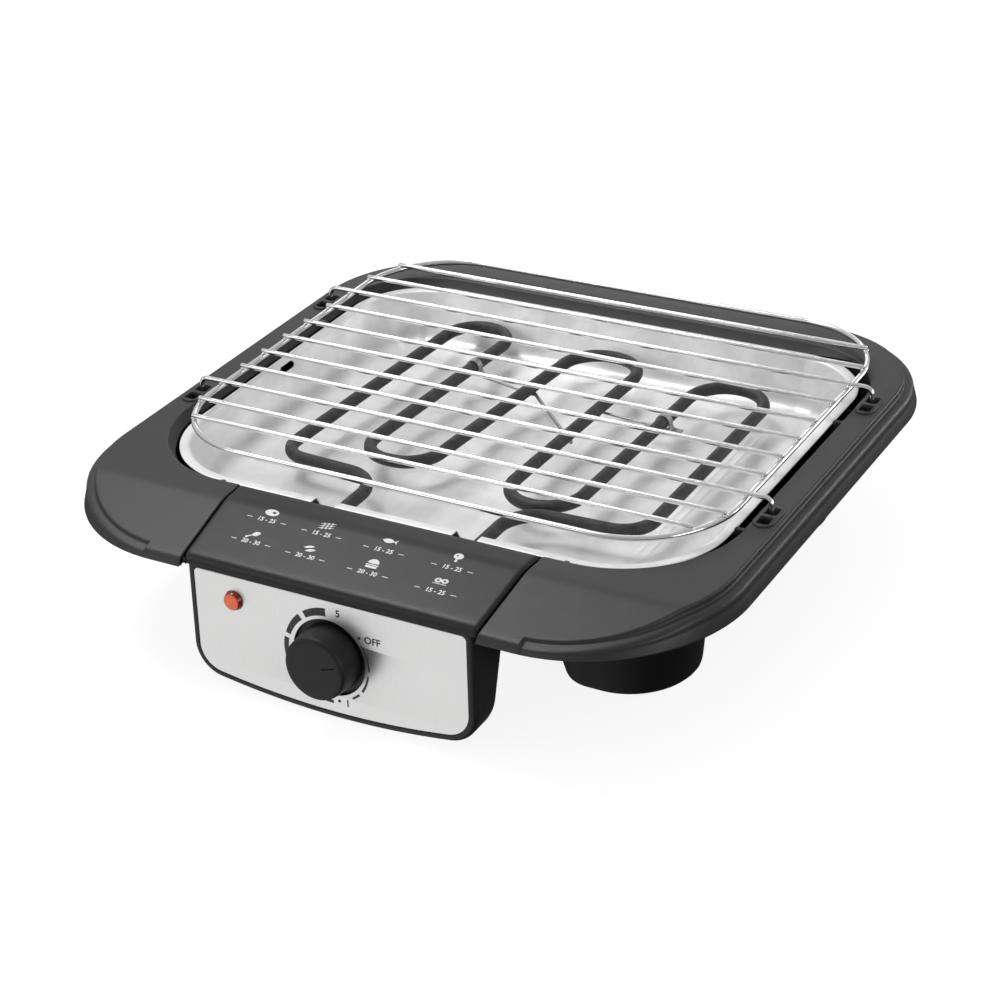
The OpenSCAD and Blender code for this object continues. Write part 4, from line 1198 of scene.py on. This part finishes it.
# pointer slot in the knob's front
a20 = math.radians(18.3)


def slot_at(u, v_, w):
    return at(u * math.cos(a20) - v_ * math.sin(a20), u * math.sin(a20) + v_ * math.cos(a20), w)


loop = [(6.0 + 0.5 * math.cos(math.radians(a)), 0.5 * math.sin(math.radians(a))) for a in np.linspace(90, 270, 9)]
loop += [(14.3 + 0.5 * math.cos(math.radians(a)), 0.5 * math.sin(math.radians(a))) for a in np.linspace(270, 450, 9)]
rr = [[slot_at(p[0], p[1], w) for p in loop] for w in (14.75, 17.0)]
v, f = loft(rr, True, True, True)
tool = make("tool", v, f, None, None, None, smooth=False)
cut(knob, tool)
# recess in the knob's back, over the nut and the switch's neck
v, f = lathe([(0.0001, -4.0), (9.0, -4.0), (9.0, 4.8), (0.0001, 4.8)], at, 96, False, False)
tool = make("tool", v, f, None, None, None, smooth=False)
cut(knob, tool)
knob.data.materials.clear()
knob.data.materials.append(M["knob"])
shade(knob, 30)
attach(knob, "knob")
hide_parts("knob")


# ------------------------------------------------------------------ prints
def text_shape(s, size, cx, cy, thick, at, w0=-0.02):
    """Plain digits from the built-in font, centred on (cx, cy), as closed slabs."""
    cu = bpy.data.curves.new("t", "FONT")
    cu.body = s
    cu.size = size
    cu.align_x = "CENTER"
    cu.align_y = "CENTER"
    cu.extrude = thick / 2
    cu.offset = 0.022 * size
    cu.resolution_u = 3
    ob = bpy.data.objects.new("t", cu)
    bpy.context.scene.collection.objects.link(ob)
    dg = bpy.context.evaluated_depsgraph_get()
    me = bpy.data.meshes.new_from_object(ob.evaluated_get(dg), depsgraph=dg)
    v = [at(cx + p.co.x, cy + p.co.y, w0 + thick / 2 + p.co.z) for p in me.vertices]
    f = [tuple(q.vertices) for q in me.polygons]
    bpy.data.objects.remove(ob)
    bpy.data.meshes.remove(me)
    bpy.data.curves.remove(cu)
    return v, f


def sector(r0, r1, a0, a1, n=40, r0b=None, r1b=None):
    """A band between two radii, which may change towards its far end."""
    r0b, r1b = r0 if r0b is None else r0b, r1 if r1b is None else r1b
    o, i = [], []
    for k in range(n + 1):
        u = k / n
        a = math.radians(a0 + (a1 - a0) * u)
        ro, ri = r1 + (r1b - r1) * u, r0 + (r0b - r0) * u
        o.append((ro * math.cos(a), ro * math.sin(a)))
        i.append((ri * math.cos(a), ri * math.sin(a)))
    return o + i[::-1]


def disc(cx, cy, r, n=24, ry=None):
    ry = r if ry is None else ry
    return [(cx + r * math.cos(2 * math.pi * k / n), cy + ry * math.sin(2 * math.pi * k / n)) for k in range(n)]


def bar(x0, y0, x1, y1, w):
    d = Vector((x1 - x0, y1 - y0)).normalized()
    q = Vector((-d.y, d.x)) * w / 2
    return [(x0 - q.x, y0 - q.y), (x1 - q.x, y1 - q.y), (x1 + q.x, y1 + q.y), (x0 + q.x, y0 + q.y)]


face = on_face(0, KZ)
PZ0, PZ1 = -0.24, -0.13      # the plate's surface lies 0.2 behind the face line
dial = Bag()
for r0, r1, a0, a1, r0b, r1b in (
        (25.2, 30.2, 91.5, 122.5, 25.3, 29.4), (25.3, 29.3, 130, 161.5, 25.8, 28.9), (26.1, 29.2, 167.5, 206, 26.4, 29.1),
        (26.3, 28.2, 228, 273, 26.3, 28.2), (24.9, 25.5, 28, -5.5, 25.1, 26.1), (24.85, 25.85, -12.5, -38, 25.3, 26.8),
        (25.4, 26.9, -45, -57.5, 25.4, 26.6)):
    dial.add(*plate2d([sector(r0, r1, a0, a1, 36, r0b, r1b)], PZ0, PZ1, face))
for u, v_ in ((20.3, 17.2), (5.2, -25.9)):
    dial.add(*plate2d([disc(u, v_, 0.98)], PZ0, PZ1, face))
dial.add(*text_shape("OFF", 5.9, 28.6, 16.9, PZ1 - PZ0, face, PZ0))
dial.add(*text_shape("5", 6.0, 7.3, 28.6, PZ1 - PZ0, face, PZ0))
dial.add(*text_shape("1", 6.0, 10.6, -26.2, PZ1 - PZ0, face, PZ0))
dial.made("dial_print", M["ink"], "unit", "face_steel", angle=30)


def cov(u, v_, w):
    """u across, v up the slope towards the rear, from the crease."""
    return on_slope(u, -v_, w)


pr = Bag()


def put(loops, x0, y0):
    pr.add(*plate2d([[(x0 + p[0], y0 + p[1]) for p in lp] for lp in loops], -0.03, 0.06, cov))


def leaf(cx, cy, l, w, ang, n=10):
    a = math.radians(ang)
    up = [(-l / 2 + l * k / n, w / 2 * math.sin(math.pi * k / n) ** 0.8) for k in range(n + 1)]
    dn = [(p[0], -p[1]) for p in up[1:-1]][::-1]
    return [(cx + p[0] * math.cos(a) - p[1] * math.sin(a), cy + p[0] * math.sin(a) + p[1] * math.cos(a)) for p in up + dn]


XS = (-62.3, -25.6, 15.0, 58.0)
R1, R2 = -3.4, -22.2
# simple food signs of the builder's own, each a few flat shapes
put([disc(0, 0, 4.4, 28, 2.5), disc(1.4, 0.3, 1.3, 16, 0.8)[::-1]], XS[0], R1)
for dy in (-1.7, 0.0, 1.7):
    put([bar(-4.6, dy - 0.9, 4.6, dy + 0.9, 0.28)], XS[1], R1)
    for dx in (-2.3, 0.1, 2.4):
        put([disc(dx, dy + dx * 0.195, 0.72, 12)], XS[1], R1)
put([leaf(-0.7, 0.1, 7.4, 3.4, 0)], XS[2], R1)
put([[(2.6, 0.1), (5.0, 1.7), (4.4, 0.1), (5.0, -1.5)]], XS[2], R1)
put([disc(0, 1.0, 2.9, 24, 2.2), disc(-0.9, 1.4, 0.6, 10)[::-1]], XS[3], R1)
put([bar(0.0, -1.4, 0.0, -3.4, 1.5)], XS[3], R1)
put([leaf(0.6, 0.9, 5.4, 3.4, 28)], XS[0], R2)
put([bar(-1.6, -0.6, -3.8, -2.0, 0.8)], XS[0], R2)
put([disc(-4.0, -2.3, 0.8, 12)], XS[0], R2)
put([leaf(-1.0, 1.1, 6.6, 1.9, 18)], XS[1], R2)
put([leaf(1.0, -1.2, 6.6, 1.9, 18)], XS[1], R2)
put([[(p[0], p[1]) for p in sector(0.0001, 3.6, 8, 172, 18)]], XS[2], R2 + 0.2)
put([bar(-3.9, -0.65, 3.9, -0.65, 0.7)], XS[2], R2)
put([rrect(0, -2.2, 7.4, 1.5, 0.7, 4)], XS[2], R2)
put([disc(-1.9, 0.2, 2.1, 20, 1.7), disc(-1.9, 0.2, 0.9, 12, 0.7)[::-1]], XS[3], R2)
put([disc(2.1, 0.4, 2.1, 20, 1.7), disc(2.1, 0.4, 0.9, 12, 0.7)[::-1]], XS[3], R2)
put([bar(-4.2, -2.2, 4.2, -2.2, 0.45)], XS[3], R2)
for (x0, y0, s) in ((XS[0], -9.5, "15 - 25"), (XS[1], -10.0, "15 - 25"), (XS[2] + 0.3, -10.9, "15 - 25"), (XS[3] + 0.8, -11.6, "15 - 25"),
                    (XS[0] + 0.8, -27.7, "20 - 30"), (XS[1] + 0.4, -28.4, "20 - 30"), (XS[2] + 0.4, -29.0, "20 - 30"), (XS[3] + 0.6, -30.0, "15 - 25")):
    pr.add(*text_shape(s, 4.2, x0, y0, 0.09, cov, -0.03))
    for q in (-1, 1):
        put([rrect(q * 11.2, 0.0, 3.6, 0.46, 0.2, 3)], x0, y0)
pr.made("cover_print", M["white"], "unit", "unit_plastic", angle=30)

# ------------------------------------------------------------------- stage
fm = Mat("floor", (0.24, 0.24, 0.24), 0.8, 0.0, 0.1)
fm.to("Base Color", fm.ramp(fm.noise(3.0, 2), [(0.3, (0.235, 0.235, 0.235)), (0.7, (0.245, 0.245, 0.245))]))
fm.b.inputs["Emission Color"].default_value = (1, 1, 1, 1)
fm.b.inputs["Emission Strength"].default_value = 0.88
me = bpy.data.meshes.new("floor")
S = 14.0
me.from_pydata([(-S, -S, 0), (S, -S, 0), (S, S, 0), (-S, S, 0)], [], [(0, 1, 2, 3)])
me.materials.append(fm.m)
floor = bpy.data.objects.new("floor", me)
bpy.context.scene.collection.objects.link(floor)
floor.visible_glossy = False
floor.visible_diffuse = False

world = bpy.data.worlds.new("studio")
bpy.context.scene.world = world
world.use_nodes = True
wn = world.node_tree
bg = wn.nodes["Background"]
tc = wn.nodes.new("ShaderNodeTexCoord")


def wdot(v):
    d = wn.nodes.new("ShaderNodeVectorMath")
    d.operation = "DOT_PRODUCT"
    d.inputs[1].default_value = Vector(v).normalized()
    wn.links.new(tc.outputs["Generated"], d.inputs[0])
    return d.outputs["Value"]


def wmap(x, f0, f1, t0, t1, smooth=True):
    r = wn.nodes.new("ShaderNodeMapRange")
    r.interpolation_type = "SMOOTHSTEP" if smooth else "LINEAR"
    for k, v in (("From Min", f0), ("From Max", f1), ("To Min", t0), ("To Max", t1)):
        r.inputs[k].default_value = v
    wn.links.new(x, r.inputs["Value"])
    return r.outputs["Result"]


def wmath(op, a, b):
    r = wn.nodes.new("ShaderNodeMath")
    r.operation = op
    for k, v in enumerate((a, b)):
        if isinstance(v, (int, float)):
            r.inputs[k].default_value = v
        else:
            wn.links.new(v, r.inputs[k])
    return r.outputs[0]


# soft light, brightest from the rear left, with a pale floor patch in front on the left
upper = wmap(wdot((-0.55, 0.62, 0.55)), -0.2, 0.98, 0.40, 0.66)
below = wmap(wdot((0, 0, 1)), -0.16, 0.02, 0.0, 1.0)
upper = wmath("MULTIPLY", upper, below)
patch = wmap(wdot((-0.45, -0.78, -0.44)), 0.45, 0.93, 0.0, 0.85)
low = wmath("MULTIPLY", wmath("ADD", patch, 0.10), wmath("SUBTRACT", 1.0, below))
total = wmath("ADD", upper, low)
wn.links.new(total, bg.inputs["Color"])
bg.inputs["Strength"].default_value = 1.0


def area(name, loc, target, sx, sy, power, color=(1, 1, 1)):
    li = bpy.data.lights.new(name, "AREA")
    li.shape = "RECTANGLE"
    li.size, li.size_y = sx, sy
    li.energy = power
    li.color = color
    ob = bpy.data.objects.new(name, li)
    bpy.context.scene.collection.objects.link(ob)
    ob.location = loc
    ob.rotation_euler = (Vector(target) - Vector(loc)).to_track_quat("-Z", "Y").to_euler()
    return ob


area("key", (-0.74, 0.10, 1.48), (0, -0.1, 0.08), 0.55, 0.40, 10)
area("rear_left", (-0.37, 0.82, 0.47), (0.03, 0.10, 0.058), 0.52, 0.17, 0.5)
area("right_rear", (0.95, 1.15, 0.24), (0.1, 0.0, 0.06), 0.9, 0.35, 5)
area("front_left", (-1.2, -1.6, 0.9), (0, 0, 0.05), 1.0, 0.8, 4)
area("right_low", (1.7, -0.55, 0.42), (-0.05, 0.0, 0.08), 0.9, 0.5, 6)

cam = bpy.data.cameras.new("camera")
cam.lens = 85.324
cam.sensor_width = 36.0
cam.clip_end = 60
co = bpy.data.objects.new("camera", cam)
bpy.context.scene.collection.objects.link(co)
Rv, Uv, Fv = (0.869804, 0.490492, -0.053459), (-0.197246, 0.44499, 0.873543), (-0.452255, 0.749267, -0.483802)
co.matrix_world = Matrix(((Rv[0], Uv[0], -Fv[0], 0.645305), (Rv[1], Uv[1], -Fv[1], -1.071733), (Rv[2], Uv[2], -Fv[2], 0.730815), (0, 0, 0, 1)))
bpy.context.scene.camera = co
bpy.context.scene.view_settings.view_transform = "Standard"
bpy.context.scene.view_settings.look = "None"
bpy.context.scene.view_settings.exposure = 0.0
